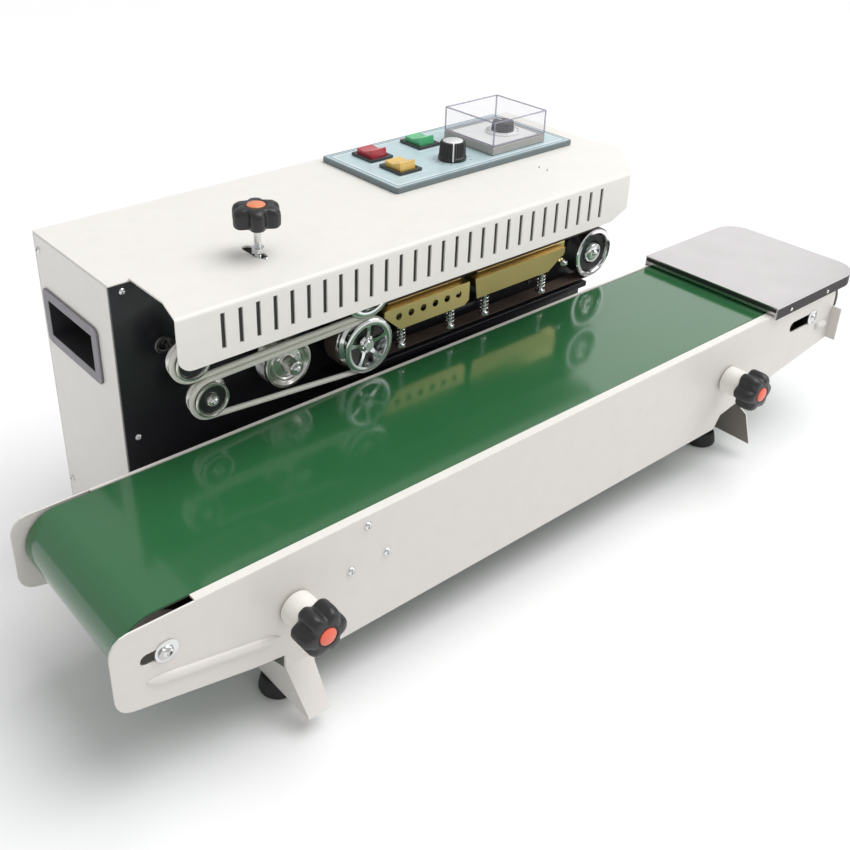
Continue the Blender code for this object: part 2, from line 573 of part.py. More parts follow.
ROCKER_LEAN = 8.0
ROCKER_AXIS_Z = 279.0
for label, spot, surface in (("heater", ROCKER_CENTRES["heater"], RED), ("fan", ROCKER_CENTRES["fan"], YELLOW),
                             ("conveyor", ROCKER_CENTRES["conveyor"], GREEN)):
    bezel = outline(f"switch_bezel_{label}", [opening(spot, 13, 15), opening(spot, 9.5, 12)],
                    PANEL_TOP + GAP, PANEL_TOP + 3, "XY", BLACK_PLASTIC)
    join(bezel, outline(f"switch_body_{label}", [opening(spot, 11.2, 13.2), opening(spot, 9.5, 12)],
                        255, PANEL_TOP + 1, "XY", collection=cutters))
    pivot = Vector((spot[0], spot[1], ROCKER_AXIS_Z))
    section = [(-10.6, -3), (10.6, -3), (10.6, 10.6), (0, 8.4), (-10.6, 10.6)]
    mesh = outline_mesh(f"rocker_{label}", [section], -9.1, 9.1, "YZ")
    lean = Matrix.Translation(pivot) @ Matrix.Rotation(math.radians(-ROCKER_LEAN), 4, "X")
    mesh.transform(lean)
    place(f"rocker_{label}", mesh, surface, origin=pivot)

turned("speed_knob", [(0, 299), (11, 299), (12, 298), (13.3, PANEL_TOP + GAP), (3.2, PANEL_TOP + GAP), (3.2, 262),
                      (0, 262)], SPEED_CENTRE, BLACK_PLASTIC, "Z", 28)

BASE_TOP = 289.0
base = box("temperature_controller", (*CONTROLLER[0], PANEL_TOP + GAP), (*CONTROLLER[1], BASE_TOP), PALE_GREY)
join(base, box("controller_body", (controller_centre[0] - BODY_HALF, controller_centre[1] - BODY_HALF, 226),
               (controller_centre[0] + BODY_HALF, controller_centre[1] + BODY_HALF, PANEL_TOP + 1),
               collection=cutters))
turned("temperature_dial", [(0, 300), (9, 300), (10, 299), (11, BASE_TOP + 2.5), (17, BASE_TOP + 2),
                            (17, BASE_TOP + GAP), (0, BASE_TOP + GAP)], DIAL_CENTRE, BLACK_PLASTIC, "Z", 28)
COVER_TOP = 313.0
(cx0, cy0), (cx1, cy1) = CONTROLLER
hinge_line = (controller_centre[0], cy1, BASE_TOP + GAP)
COVER_WALL = 1.8
cover = box("meter_cover", (cx0, cy0, BASE_TOP + GAP), (cx1, cy1, COVER_TOP), CLEAR, origin=hinge_line)
cut(cover, box("cover_hollow", (cx0 + COVER_WALL, cy0 + COVER_WALL, BASE_TOP - 2),
               (cx1 - COVER_WALL, cy1 - COVER_WALL, COVER_TOP - COVER_WALL), collection=cutters))

rod("pressure_spindle", (*PRESSURE_CENTRE, 246), 56, 2.8, "Z", CHROME, origin=(*PRESSURE_CENTRE, 0), sides=14)
crown = outline("pressure_knob", [lobed(PRESSURE_CENTRE, 19.5, 4.5)], 302.3, TOTAL_HEIGHT, "XY", BLACK_PLASTIC,
                origin=(*PRESSURE_CENTRE, 0))
smooth(crown, 50)


# --- sealing train --------------------------------------------------------------------
def wheel_with_pockets(name, x, z, profile, pockets, surface, count=5):
    """A turned wheel whose front face has windows between its spokes; pockets = (r0, r1, y0, y1)."""
    wheel = turned(name, profile, (x, z), surface)
    inner, outer, low, high = pockets
    spread = 360 / count
    half_gap = spread / 2 - 9
    loops = [arc((x, z), outer, i * spread - half_gap, i * spread + half_gap, 4)
             + arc((x, z), inner, i * spread + half_gap - 8, i * spread - half_gap + 8, 3) for i in range(count)]
    cut(wheel, outline(name + "_windows", loops, low, high, "XZ", collection=cutters))
    return wheel


DRUM = (BAND_SIDES[0] - 0.5, BAND_SIDES[1] + 0.5)
shaft_tail = [(0, GEAR_SIDES[1] + 1), (SHAFT_RADIUS, GEAR_SIDES[1] + 1), (SHAFT_RADIUS, DRUM[1])]
GROOVE = GUIDE_BIG_RADIUS - GAP
drive_profile = [*shaft_tail, (DRUM_RADIUS, DRUM[1]), (DRUM_RADIUS, DRUM[0] - 4), (GROOVE, GUIDE_SIDES[1] + GAP),
                 (GROOVE, GUIDE_SIDES[0] - GAP), (DRUM_RADIUS, GUIDE_SIDES[0] - 1.2), (DRUM_RADIUS, 9.8),
                 (DRUM_RADIUS - 3.5, 9), (DRUM_RADIUS - 4.5, 11), (7, 11), (6, 9), (0, 9)]
for level, height in (("lower", WHEEL_LOWER_Z), ("upper", WHEEL_UPPER_Z)):
    wheel_with_pockets(f"drive_wheel_{level}", DRIVE_X, height, drive_profile, (9.5, 18.5, 5, 21), CHROME)

driven_profile = [(0, SHAFT_END), (SHAFT_RADIUS, SHAFT_END), (SHAFT_RADIUS, DRUM[1]), (DRUM_RADIUS, DRUM[1]),
                  (DRUM_RADIUS, DRUM[0] - 1.5), (DRUM_RADIUS - 3.5, DRUM[0] - 2), (DRUM_RADIUS - 5, DRUM[0] + 2),
                  (12, DRUM[0] + 2), (10.5, DRUM[0] - 2.5), (0, DRUM[0] - 2.5)]
embossing_profile = [(0, SHAFT_END), (SHAFT_RADIUS, SHAFT_END), (SHAFT_RADIUS, 39), (EMBOSSING_RADIUS, 39),
                     (EMBOSSING_RADIUS, 23), (EMBOSSING_RADIUS - 3, 21), (EMBOSSING_RADIUS - 5, 22.5), (9, 22.5),
                     (8, 19), (7.5, 11), (6.5, 10), (0, 10)]
PULLEY_GROOVE = GUIDE_SMALL_RADIUS - GAP
pulley_profile = [(0, SHAFT_END), (SHAFT_RADIUS, SHAFT_END), (SHAFT_RADIUS, 22), (PULLEY_REACH - 0.6, 22),
                  (PULLEY_REACH - 0.6, 19), (PULLEY_GROOVE, GUIDE_SIDES[1] + GAP),
                  (PULLEY_GROOVE, GUIDE_SIDES[0] - GAP),
                  (PULLEY_REACH - 0.6, 10.4), (PULLEY_REACH - 0.6, 9), (PULLEY_REACH - 3, 8.6), (12, 10.6), (7, 10.6),
                  (6, 8), (0, 8)]
for name, x, z, profile in (
        ("driven_wheel_lower", DRIVEN_X, WHEEL_LOWER_Z, driven_profile),
        ("driven_wheel_upper", DRIVEN_X, WHEEL_UPPER_Z, driven_profile),
        ("embossing_wheel_lower", EMBOSSING_X, EMBOSSING_LOWER_Z, embossing_profile),
        ("embossing_wheel_upper", EMBOSSING_X, EMBOSSING_UPPER_Z, embossing_profile),
        ("guide_pulley_lower", PULLEY_LOWER_X, PULLEY_LOWER_Z, pulley_profile),
        ("guide_pulley_upper", PULLEY_UPPER_X, PULLEY_UPPER_Z, pulley_profile)):
    turned(name, profile, (x, z), CHROME if "embossing" not in name else ALUMINIUM, steps=28)

for level, height, pulley in (("lower", WHEEL_LOWER_Z, (PULLEY_LOWER_X, PULLEY_LOWER_Z)),
                              ("upper", WHEEL_UPPER_Z, (PULLEY_UPPER_X, PULLEY_UPPER_Z))):
    band = [loop_round((DRIVE_X, height), radius, (DRIVEN_X, height), radius)
            for radius in (BAND_RADIUS, BAND_RADIUS - BAND_THICKNESS)]
    smooth(outline(f"sealing_band_{level}", band, *BAND_SIDES, "XZ", BAND))
    guide = [loop_round(pulley, GUIDE_SMALL_RADIUS + extra, (DRIVE_X, height), GUIDE_BIG_RADIUS + extra)
            for extra in (GUIDE_THICKNESS, 0)]
    smooth(outline(f"guide_belt_{level}", guide, *GUIDE_SIDES, "XZ", URETHANE))


def gear(name, centre, phase):
    """A spur gear with straight-sided teeth and a bore for its shaft."""
    pitch = (WHEEL_UPPER_Z - WHEEL_LOWER_Z) / 2
    step = 360 / GEAR_TEETH
    teeth = []
    for i in range(GEAR_TEETH):
        middle = phase + i * step
        for swing, reach in ((-4.6, pitch - 2.4), (-2.0, pitch + 1.5), (2.0, pitch + 1.5), (4.6, pitch - 2.4)):
            angle = math.radians(middle + swing)
            teeth.append((centre[0] + reach * math.cos(angle), centre[1] + reach * math.sin(angle)))
    outline(name, [teeth, circle(centre, SHAFT_RADIUS + GAP, 16)], *GEAR_SIDES, "XZ", STEEL,
            origin=(centre[0], 0, centre[1]))


gear("timing_gear_lower", (DRIVE_X, WHEEL_LOWER_Z), 0)
gear("timing_gear_upper", (DRIVE_X, WHEEL_UPPER_Z), 180 / GEAR_TEETH)

STRAND = GAP + BAND_THICKNESS + GAP
BLOCK_SIDES = (23.5, 40.0)
for label, x0, x1 in (("cooling", -68, 18), ("heating", 38, 156)):
    top_of_lower = SEAL_LINE - STRAND
    box(f"{label}_block_lower", (x0, BLOCK_SIDES[0], top_of_lower - 16), (x1, BLOCK_SIDES[1], top_of_lower), BRASS)
    box(f"{label}_block_upper", (x0, BLOCK_SIDES[0], SEAL_LINE + STRAND),
        (x1, BLOCK_SIDES[1], SEAL_LINE + STRAND + 16), BRASS)


def block_cover(name, face, holes):
    """A brass shield before a lower block: a front face with a shelf folded back at its top."""
    top = SEAL_LINE - 2.0
    shield = outline(name, [face, *holes], 14, 15.2, "XZ", BRASS)
    x0, x1 = min(x for x, z in face), max(x for x, z in face)
    join(shield, box(name + "_shelf", (x0 + 0.2, 14.2, top - 1.2), (x1 - 0.2, 23.0, top - 0.1), collection=cutters))


SHIELD_TOP = SEAL_LINE - 2.2
block_cover("cooling_cover", [(-79, SHIELD_TOP), (-79, 190), (-61, 174), (15, 174), (20, 178), (20, SHIELD_TOP)],
            [circle((-63 + i * 14.0, 187), 3.4, 12) for i in range(6)])
block_cover("heating_cover", [(27, SHIELD_TOP), (30, 176), (125, 176), (146, 190), (146, SHIELD_TOP)], [])


# --- drive ----------------------------------------------------------------------------
motor = box("gear_motor", (-148, 72, 40), (-50, 165, 140), ALUMINIUM)
join(motor, rod("motor_can", (-60, 118, 88), 112, 38, "X", collection=cutters, sides=24),
     rod("motor_shaft", (-99, 58, 110), 20, 6, "Y", collection=cutters))
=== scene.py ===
"""Looks of the continuous band sealer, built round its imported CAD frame.

Pieces are drawn in machine millimetres and placed in metres. X runs along the conveyor from the
outfeed (left) to the infeed (right), Y from the operator to the housing's back, Z up. Places come
from the boxes of the CAD nodes.
"""
import json
import math

import bmesh
import bpy
from mathutils import Matrix, Vector


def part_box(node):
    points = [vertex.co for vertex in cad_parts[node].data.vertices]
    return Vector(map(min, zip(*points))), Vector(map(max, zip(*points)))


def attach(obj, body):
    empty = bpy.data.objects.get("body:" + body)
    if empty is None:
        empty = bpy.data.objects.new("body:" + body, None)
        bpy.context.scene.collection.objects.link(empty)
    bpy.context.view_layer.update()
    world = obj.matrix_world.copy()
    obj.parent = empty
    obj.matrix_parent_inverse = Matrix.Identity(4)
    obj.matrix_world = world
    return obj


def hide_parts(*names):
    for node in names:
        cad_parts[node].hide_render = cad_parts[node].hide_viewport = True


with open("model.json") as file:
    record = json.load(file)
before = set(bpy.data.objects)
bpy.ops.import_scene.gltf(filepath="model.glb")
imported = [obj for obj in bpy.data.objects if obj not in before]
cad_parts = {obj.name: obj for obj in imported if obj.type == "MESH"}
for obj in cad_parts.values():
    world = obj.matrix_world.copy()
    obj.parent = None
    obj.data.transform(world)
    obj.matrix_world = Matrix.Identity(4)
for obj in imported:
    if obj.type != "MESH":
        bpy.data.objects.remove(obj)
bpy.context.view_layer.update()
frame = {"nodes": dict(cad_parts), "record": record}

MM = 0.001
X, Y, Z = (1, 0, 0), (0, 1, 0), (0, 0, 1)
FRONT = (0, -1, 0)


def corners(node):
    """A CAD node's lowest and highest corners in millimetres."""
    low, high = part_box(node)
    return low / MM, high / MM


def centre(node):
    low, high = corners(node)
    return (low + high) / 2


# --- camera, light and floor ----------------------------------------------------------
AZIMUTH, ELEVATION, ROLL = 39.08, 28.81, 0.59        # degrees; azimuth from +Y towards +X
CAMERA_PLACE = (-0.5993, -0.6053, 0.6102)
LENS, SENSOR = 45.46, 36.0
SHIFT = (0.0663, -0.0953)

lens = bpy.data.cameras.new("camera")
lens.lens, lens.sensor_width = LENS, SENSOR
lens.shift_x, lens.shift_y = SHIFT
lens.clip_start, lens.clip_end = 0.01, 50
camera = bpy.data.objects.new("camera", lens)
camera.matrix_world = (Matrix.Translation(CAMERA_PLACE) @ Matrix.Rotation(math.radians(-AZIMUTH), 4, "Z")
                       @ Matrix.Rotation(math.radians(90 - ELEVATION), 4, "X")
                       @ Matrix.Rotation(math.radians(ROLL), 4, "Z"))
bpy.context.scene.collection.objects.link(camera)
bpy.context.scene.camera = camera
bpy.context.scene.view_settings.view_transform = "Standard"

world = bpy.data.worlds.new("studio")
world.use_nodes = True
world.node_tree.nodes["Background"].inputs["Color"].default_value = (1.0, 1.0, 1.0, 1)
world.node_tree.nodes["Background"].inputs["Strength"].default_value = 0.56
bpy.context.scene.world = world


def area_light(name, place, target, size, power, colour=(1, 1, 1)):
    light = bpy.data.lights.new(name, "AREA")
    light.shape, light.size, light.energy, light.color = "SQUARE", size, power, colour
    holder = bpy.data.objects.new(name, light)
    holder.location = place
    aim = Vector(target) - Vector(place)
    holder.rotation_euler = aim.to_track_quat("-Z", "Y").to_euler()
    bpy.context.scene.collection.objects.link(holder)


def sun(name, direction, strength, angle):
    """A broad distant light that shines from `direction`."""
    light = bpy.data.lights.new(name, "SUN")
    light.energy, light.angle = strength, math.radians(angle)
    holder = bpy.data.objects.new(name, light)
    holder.rotation_euler = Vector(direction).to_track_quat("Z", "Y").to_euler()
    bpy.context.scene.collection.objects.link(holder)


sun("key", (0.42, -0.20, 1.0), 2.05, 50)
area_light("right_fill", (1.1, -1.0, 0.7), (0.35, -0.1, 0.1), 0.7, 3)
area_light("back_panel", (1.95, 1.0, 1.08), (0.25, -0.07, 0.144), 0.9, 1.9)


# --- materials ------------------------------------------------------------------------
class Finish:
    """A Principled material whose colour, roughness and bump come from noise."""

    def __init__(self, name, colour, roughness, metallic=0.0, coat=0.0):
        self.material = bpy.data.materials.new(name)
        self.material.use_nodes = True
        self.tree = self.material.node_tree
        self.shader = self.tree.nodes["Principled BSDF"]
        self.colour, self.roughness = colour, roughness
        self.set("Base Color", (*colour, 1))
        self.set("Roughness", roughness)
        self.set("Metallic", metallic)
        self.set("Coat Weight", coat)
        self.set("Coat Roughness", 0.08)
        self.place = self.tree.nodes.new("ShaderNodeTexCoord").outputs["Object"]
        self.height = None

    def set(self, socket, value):
        self.shader.inputs[socket].default_value = value

    def node(self, kind, **inputs):
        made = self.tree.nodes.new(kind)
        for name, value in inputs.items():
            socket = made.inputs[name.replace("_", " ")]
            if isinstance(value, bpy.types.NodeSocket):
                self.tree.links.new(value, socket)
            else:
                socket.default_value = value
        return made

    def noise(self, scale, detail=2.0, stretch=(1, 1, 1)):
        mapping = self.node("ShaderNodeMapping", Vector=self.place, Scale=stretch)
        return self.node("ShaderNodeTexNoise", Vector=mapping.outputs[0], Scale=scale,
                         Detail=detail).outputs["Fac"]

    def range(self, socket, low, high):
        return self.node("ShaderNodeMapRange", Value=socket, To_Min=low, To_Max=high).outputs["Result"]

    def tint(self, other, socket):
        """Blend the base colour towards another one."""
        blend = self.tree.nodes.new("ShaderNodeMix")
        blend.data_type = "RGBA"
        previous = self.shader.inputs["Base Color"]
        if previous.is_linked:
            self.tree.links.new(previous.links[0].from_socket, blend.inputs["A"])
        else:
            blend.inputs["A"].default_value = previous.default_value
        blend.inputs["B"].default_value = (*other, 1)
        self.tree.links.new(socket, blend.inputs["Factor"])
        self.tree.links.new(blend.outputs["Result"], previous)
        return self

    def rough(self, socket, low, high):
        self.tree.links.new(self.range(socket, low, high), self.shader.inputs["Roughness"])
        return self

    def bump(self, socket, strength, distance):
        made = self.node("ShaderNodeBump", Height=socket, Strength=strength, Distance=distance)
        if self.height:
            self.tree.links.new(self.height, made.inputs["Normal"])
        self.height = made.outputs["Normal"]
        self.tree.links.new(self.height, self.shader.inputs["Normal"])
        return self


def powder(name, colour, shade, roughness=0.42):
    """Powder coat: orange peel, slow colour drift and faint grime."""
    made = Finish(name, colour, roughness, coat=0.12)
    made.tint(shade, made.range(made.noise(9, 4), 0.0, 0.55))
    made.tint([c * 0.86 for c in colour], made.range(made.noise(70, 5), -0.25, 0.35))
    made.rough(made.noise(160, 3), roughness - 0.09, roughness + 0.09)
    made.bump(made.noise(900, 2), 0.18, 0.0002)
    return made.material


def metal(name, colour, roughness, grain=(1, 1, 1), spread=0.08, scale=500, strength=0.08):
    """Bare or plated metal: grain lines along one direction, smudges on top."""
    made = Finish(name, colour, roughness, metallic=1.0)
    made.tint([c * 0.78 for c in colour], made.range(made.noise(24, 5), -0.2, 0.6))
    made.rough(made.noise(scale, 4, grain), max(0.03, roughness - spread), roughness + spread)
    made.bump(made.noise(scale, 3, grain), strength, 0.0001)
    return made.material


def plastic(name, colour, roughness, texture=0.12, coat=0.0, scale=1500):
    """Moulded plastic: a fine spark-eroded texture and slight gloss changes."""
    made = Finish(name, colour, roughness, coat=coat)
    made.tint([min(1, c * 1.35 + 0.004) for c in colour], made.range(made.noise(60, 4), -0.2, 0.5))
    made.rough(made.noise(220, 3), roughness - 0.06, roughness + 0.08)
    made.bump(made.noise(scale, 2), texture, 0.0001)
    return made.material


CREAM = powder("cream_powder_coat", (0.84, 0.815, 0.77), (0.81, 0.795, 0.755))
# A darker copy of the cream coat: painted shade on the conveyor's side plates, arms and beads.
CONVEYOR_CREAM_PAINTED_SHADE = powder("conveyor_cream_painted_shade", (0.70, 0.665, 0.63), (0.68, 0.655, 0.625))
# Near-black painted shade for the right arm's inner faces.
ARM_INNER_PAINTED_SHADE = powder("arm_inner_painted_shade", (0.24, 0.22, 0.20), (0.20, 0.18, 0.16))
BLACK_SHEET = powder("black_powder_coat", (0.012, 0.012, 0.016), (0.02, 0.019, 0.024), 0.38)
STEEL = metal("brushed_steel", (0.60, 0.59, 0.58), 0.30, grain=(1, 0.03, 1))
TABLE_STEEL = metal("table_steel", (0.64, 0.615, 0.62), 0.30, grain=(0.03, 1, 1), spread=0.04, scale=260, strength=0.02)
DARK_STEEL = metal("dark_steel", (0.16, 0.15, 0.15), 0.42)
CHROME = metal("chrome", (0.78, 0.79, 0.79), 0.10, spread=0.04, scale=300, strength=0.03)
ALUMINIUM = metal("turned_aluminium", (0.70, 0.69, 0.66), 0.24, spread=0.08)
CASTING = metal("cast_aluminium", (0.48, 0.48, 0.48), 0.5, scale=260, strength=0.4)
BRASS = metal("brass", (0.78, 0.59, 0.27), 0.33, grain=(0.05, 1, 1), spread=0.08)
# A darker copy of the brass: painted shade for the heating cover under the guard.
BRASS_PAINTED_SHADE = metal("brass_painted_shade", (0.60, 0.455, 0.20), 0.36, grain=(0.05, 1, 1), spread=0.08)
# Near-black steel: painted shade for the infeed table's front skirt.
SKIRT_PAINTED_SHADE = metal("table_skirt_painted_shade", (0.065, 0.058, 0.06), 0.5)
CAP_SILVER = metal("cap_silver", (0.93, 0.93, 0.93), 0.5)
RUBBER = plastic("foot_rubber", (0.018, 0.018, 0.018), 0.72, 0.3, scale=700)
BLACK_PLASTIC = plastic("knob_plastic", (0.016, 0.016, 0.018), 0.34, 0.25)
GLOSS_BLACK = plastic("gloss_black", (0.01, 0.01, 0.012), 0.16, 0.03, 0.3)
GREY_PLASTIC = plastic("handle_frame", (0.23, 0.22, 0.245), 0.46, 0.2)
# Near-black painted shade for the deep faces of the handle recesses.
RECESS_PAINTED_SHADE = plastic("handle_recess_painted_shade", (0.03, 0.03, 0.034), 0.5, 0.2)
PALE_GREY = plastic("controller_grey", (0.40, 0.39, 0.37), 0.42)
WHITE_PLASTIC = plastic("dial_white", (0.78, 0.78, 0.78), 0.36)
PANEL_EDGE = plastic("panel_edge", (0.15, 0.19, 0.20), 0.38)
PANEL_BLUE = plastic("panel_blue", (0.50, 0.64, 0.67), 0.30, 0.05, 0.2)
PANEL_LILAC = plastic("panel_lilac", (0.40, 0.44, 0.53), 0.32, 0.05, 0.2)
PRINT_WHITE = plastic("print_white", (0.74, 0.78, 0.80), 0.35, 0.02)
PRINT_DARK = plastic("print_dark", (0.10, 0.14, 0.20), 0.35, 0.02)
URETHANE = plastic("guide_urethane", (0.80, 0.78, 0.70), 0.38, 0.1, 0.15)
# Near-black painted shade behind the louvres.
LOUVRE_PAINTED_SHADE = plastic("louvre_painted_shade_sheet", (0.03, 0.03, 0.028), 0.6, 0.1)
RED_CAP = plastic("red_cap", (0.78, 0.13, 0.07), 0.34, 0.05, 0.2)
ORANGE_CAP = plastic("orange_cap", (0.82, 0.26, 0.12), 0.34, 0.05, 0.2)
BRASS_PIN = metal("pin_brass", (0.75, 0.6, 0.32), 0.25)


def belt_face():
    """Glossy green PVC, with the slow ripples and the scuffs of a belt in use."""
    made = Finish("green_pvc", (0.022, 0.118, 0.040), 0.16, coat=0.45)
    made.tint((0.034, 0.155, 0.060), made.range(made.noise(5, 3), 0.0, 0.9))
    made.tint((0.05, 0.17, 0.08), made.range(made.noise(45, 5, (0.25, 1, 1)), -0.5, 0.35))
    made.rough(made.noise(30, 5, (0.3, 1, 1)), 0.08, 0.2)
    made.bump(made.noise(14, 1), 0.06, 0.004)
    made.bump(made.noise(1200, 2), 0.05, 0.0001)
    return made.material


def woven(name, colour, pitch):
    """Woven cloth: crossed threads as two wave textures."""
    made = Finish(name, colour, 0.62)
    waves = []
    for direction in ("X", "Y"):
        wave = made.node("ShaderNodeTexWave", Vector=made.place, Scale=1 / pitch)
        wave.bands_direction = direction
        waves.append(wave.outputs["Fac"])
    threads = made.tree.nodes.new("ShaderNodeMath")
    threads.operation = "MULTIPLY"
    for wave, socket in zip(waves, threads.inputs):
        made.tree.links.new(wave, socket)
    made.tint([c * 0.6 for c in colour], made.range(threads.outputs[0], 0.0, 0.8))
    made.bump(threads.outputs[0], 0.5, 0.0003)
    return made.material


def lit_plastic(name, colour, deep):
    """Translucent coloured plastic, as on a lit rocker."""
    made = Finish(name, colour, 0.22, coat=0.4)
    made.set("Subsurface Weight", 0.25)
    made.set("Subsurface Scale", 0.002)
    made.tint(deep, made.range(made.noise(90, 2), 0.0, 0.5))
    made.bump(made.noise(500, 1), 0.03, 0.0001)
    return made.material


def clear_plastic():
    """Clear acrylic drawn as a thin glossy skin."""
    made = Finish("clear_acrylic", (0.80, 0.80, 0.86), 0.05, coat=0.5)
    made.set("Alpha", 0.07)
    made.rough(made.noise(60, 4), 0.03, 0.09)
    return made.material


def cover_rim():
    """The clear cover's edges, where the plastic looks violet-grey."""
    made = Finish("acrylic_edge", (0.36, 0.34, 0.46), 0.12, coat=0.4)
    made.set("Alpha", 0.55)
    made.rough(made.noise(60, 4), 0.08, 0.16)
    return made.material


BELT = belt_face()
BELT_BACK = woven("belt_back", (0.22, 0.23, 0.20), 0.0012)
BAND = woven("ptfe_band", (0.13, 0.09, 0.07), 0.0008)
RED = lit_plastic("rocker_red", (0.62, 0.05, 0.07), (0.35, 0.01, 0.02))
YELLOW = lit_plastic("rocker_yellow", (0.88, 0.62, 0.16), (0.70, 0.36, 0.04))
GREEN = lit_plastic("rocker_green", (0.12, 0.62, 0.27), (0.03, 0.33, 0.12))
CLEAR = clear_plastic()
COVER_RIM = cover_rim()


def floor():
    half = 6.0
    mesh = bpy.data.meshes.new("floor")
    mesh.from_pydata([(-half, -half, 0), (half, -half, 0), (half, half, 0), (-half, half, 0)], [],
                     [(0, 1, 2, 3)])
    made = Finish("studio_floor", (0.9, 0.9, 0.905), 0.6)
    made.tint((0.88, 0.88, 0.885), made.noise(3, 3))
    mesh.materials.append(made.material)
    ground = bpy.data.objects.new("floor", mesh)
    bpy.context.scene.collection.objects.link(ground)


floor()


# --- piece building -------------------------------------------------------------------
def circle(middle, radius, count=32, start=0.0):
    angles = [math.radians(start) + 2 * math.pi * i / count for i in range(count)]
    return [(middle[0] + radius * math.cos(a), middle[1] + radius * math.sin(a)) for a in angles]


def arc(middle, radius, start, end, count):
    angles = [math.radians(start + (end - start) * i / count) for i in range(count + 1)]
    return [(middle[0] + radius * math.cos(a), middle[1] + radius * math.sin(a)) for a in angles]


def rounded(low, high, radius, count=5):
    (x0, y0), (x1, y1) = low, high
    return (arc((x1 - radius, y0 + radius), radius, -90, 0, count)
            + arc((x1 - radius, y1 - radius), radius, 0, 90, count)
            + arc((x0 + radius, y1 - radius), radius, 90, 180, count)
            + arc((x0 + radius, y0 + radius), radius, 180, 270, count))


def grown(low, high, by):
    return (low[0] - by, low[1] - by), (high[0] + by, high[1] + by)


def loop_round(first, first_radius, second, second_radius, count=40):
    """The closed line of a belt round two circles, the first left of the second."""
    along = Vector(second) - Vector(first)
    lean = math.degrees(math.asin((second_radius - first_radius) / along.length))
    heading = math.degrees(math.atan2(along.y, along.x))
    up, down = heading + 90 + lean, heading - 90 - lean
    return arc(second, second_radius, down, up, count) + arc(first, first_radius, up, down + 360, count)


def lobed(radius, depth, lobes=6, count=120):
    """A hand knob's outline about the origin."""
    points = []
    for i in range(count):
        angle = 2 * math.pi * i / count
        reach = radius - depth * (0.5 - 0.5 * math.cos(lobes * angle)) ** 1.6
        points.append((reach * math.cos(angle), reach * math.sin(angle)))
    return points


def pose(at, normal):
    """A place whose local Z is `normal`."""
    return Matrix.Translation(at) @ Vector(normal).to_track_quat("Z", "Y").to_matrix().to_4x4()


UPRIGHT = {"XZ": Matrix(((1, 0, 0, 0), (0, 0, 1, 0), (0, 1, 0, 0), (0, 0, 0, 1))),
           "YZ": Matrix(((0, 0, 1, 0), (1, 0, 0, 0), (0, 1, 0, 0), (0, 0, 0, 1))),
           "XY": Matrix.Identity(4)}


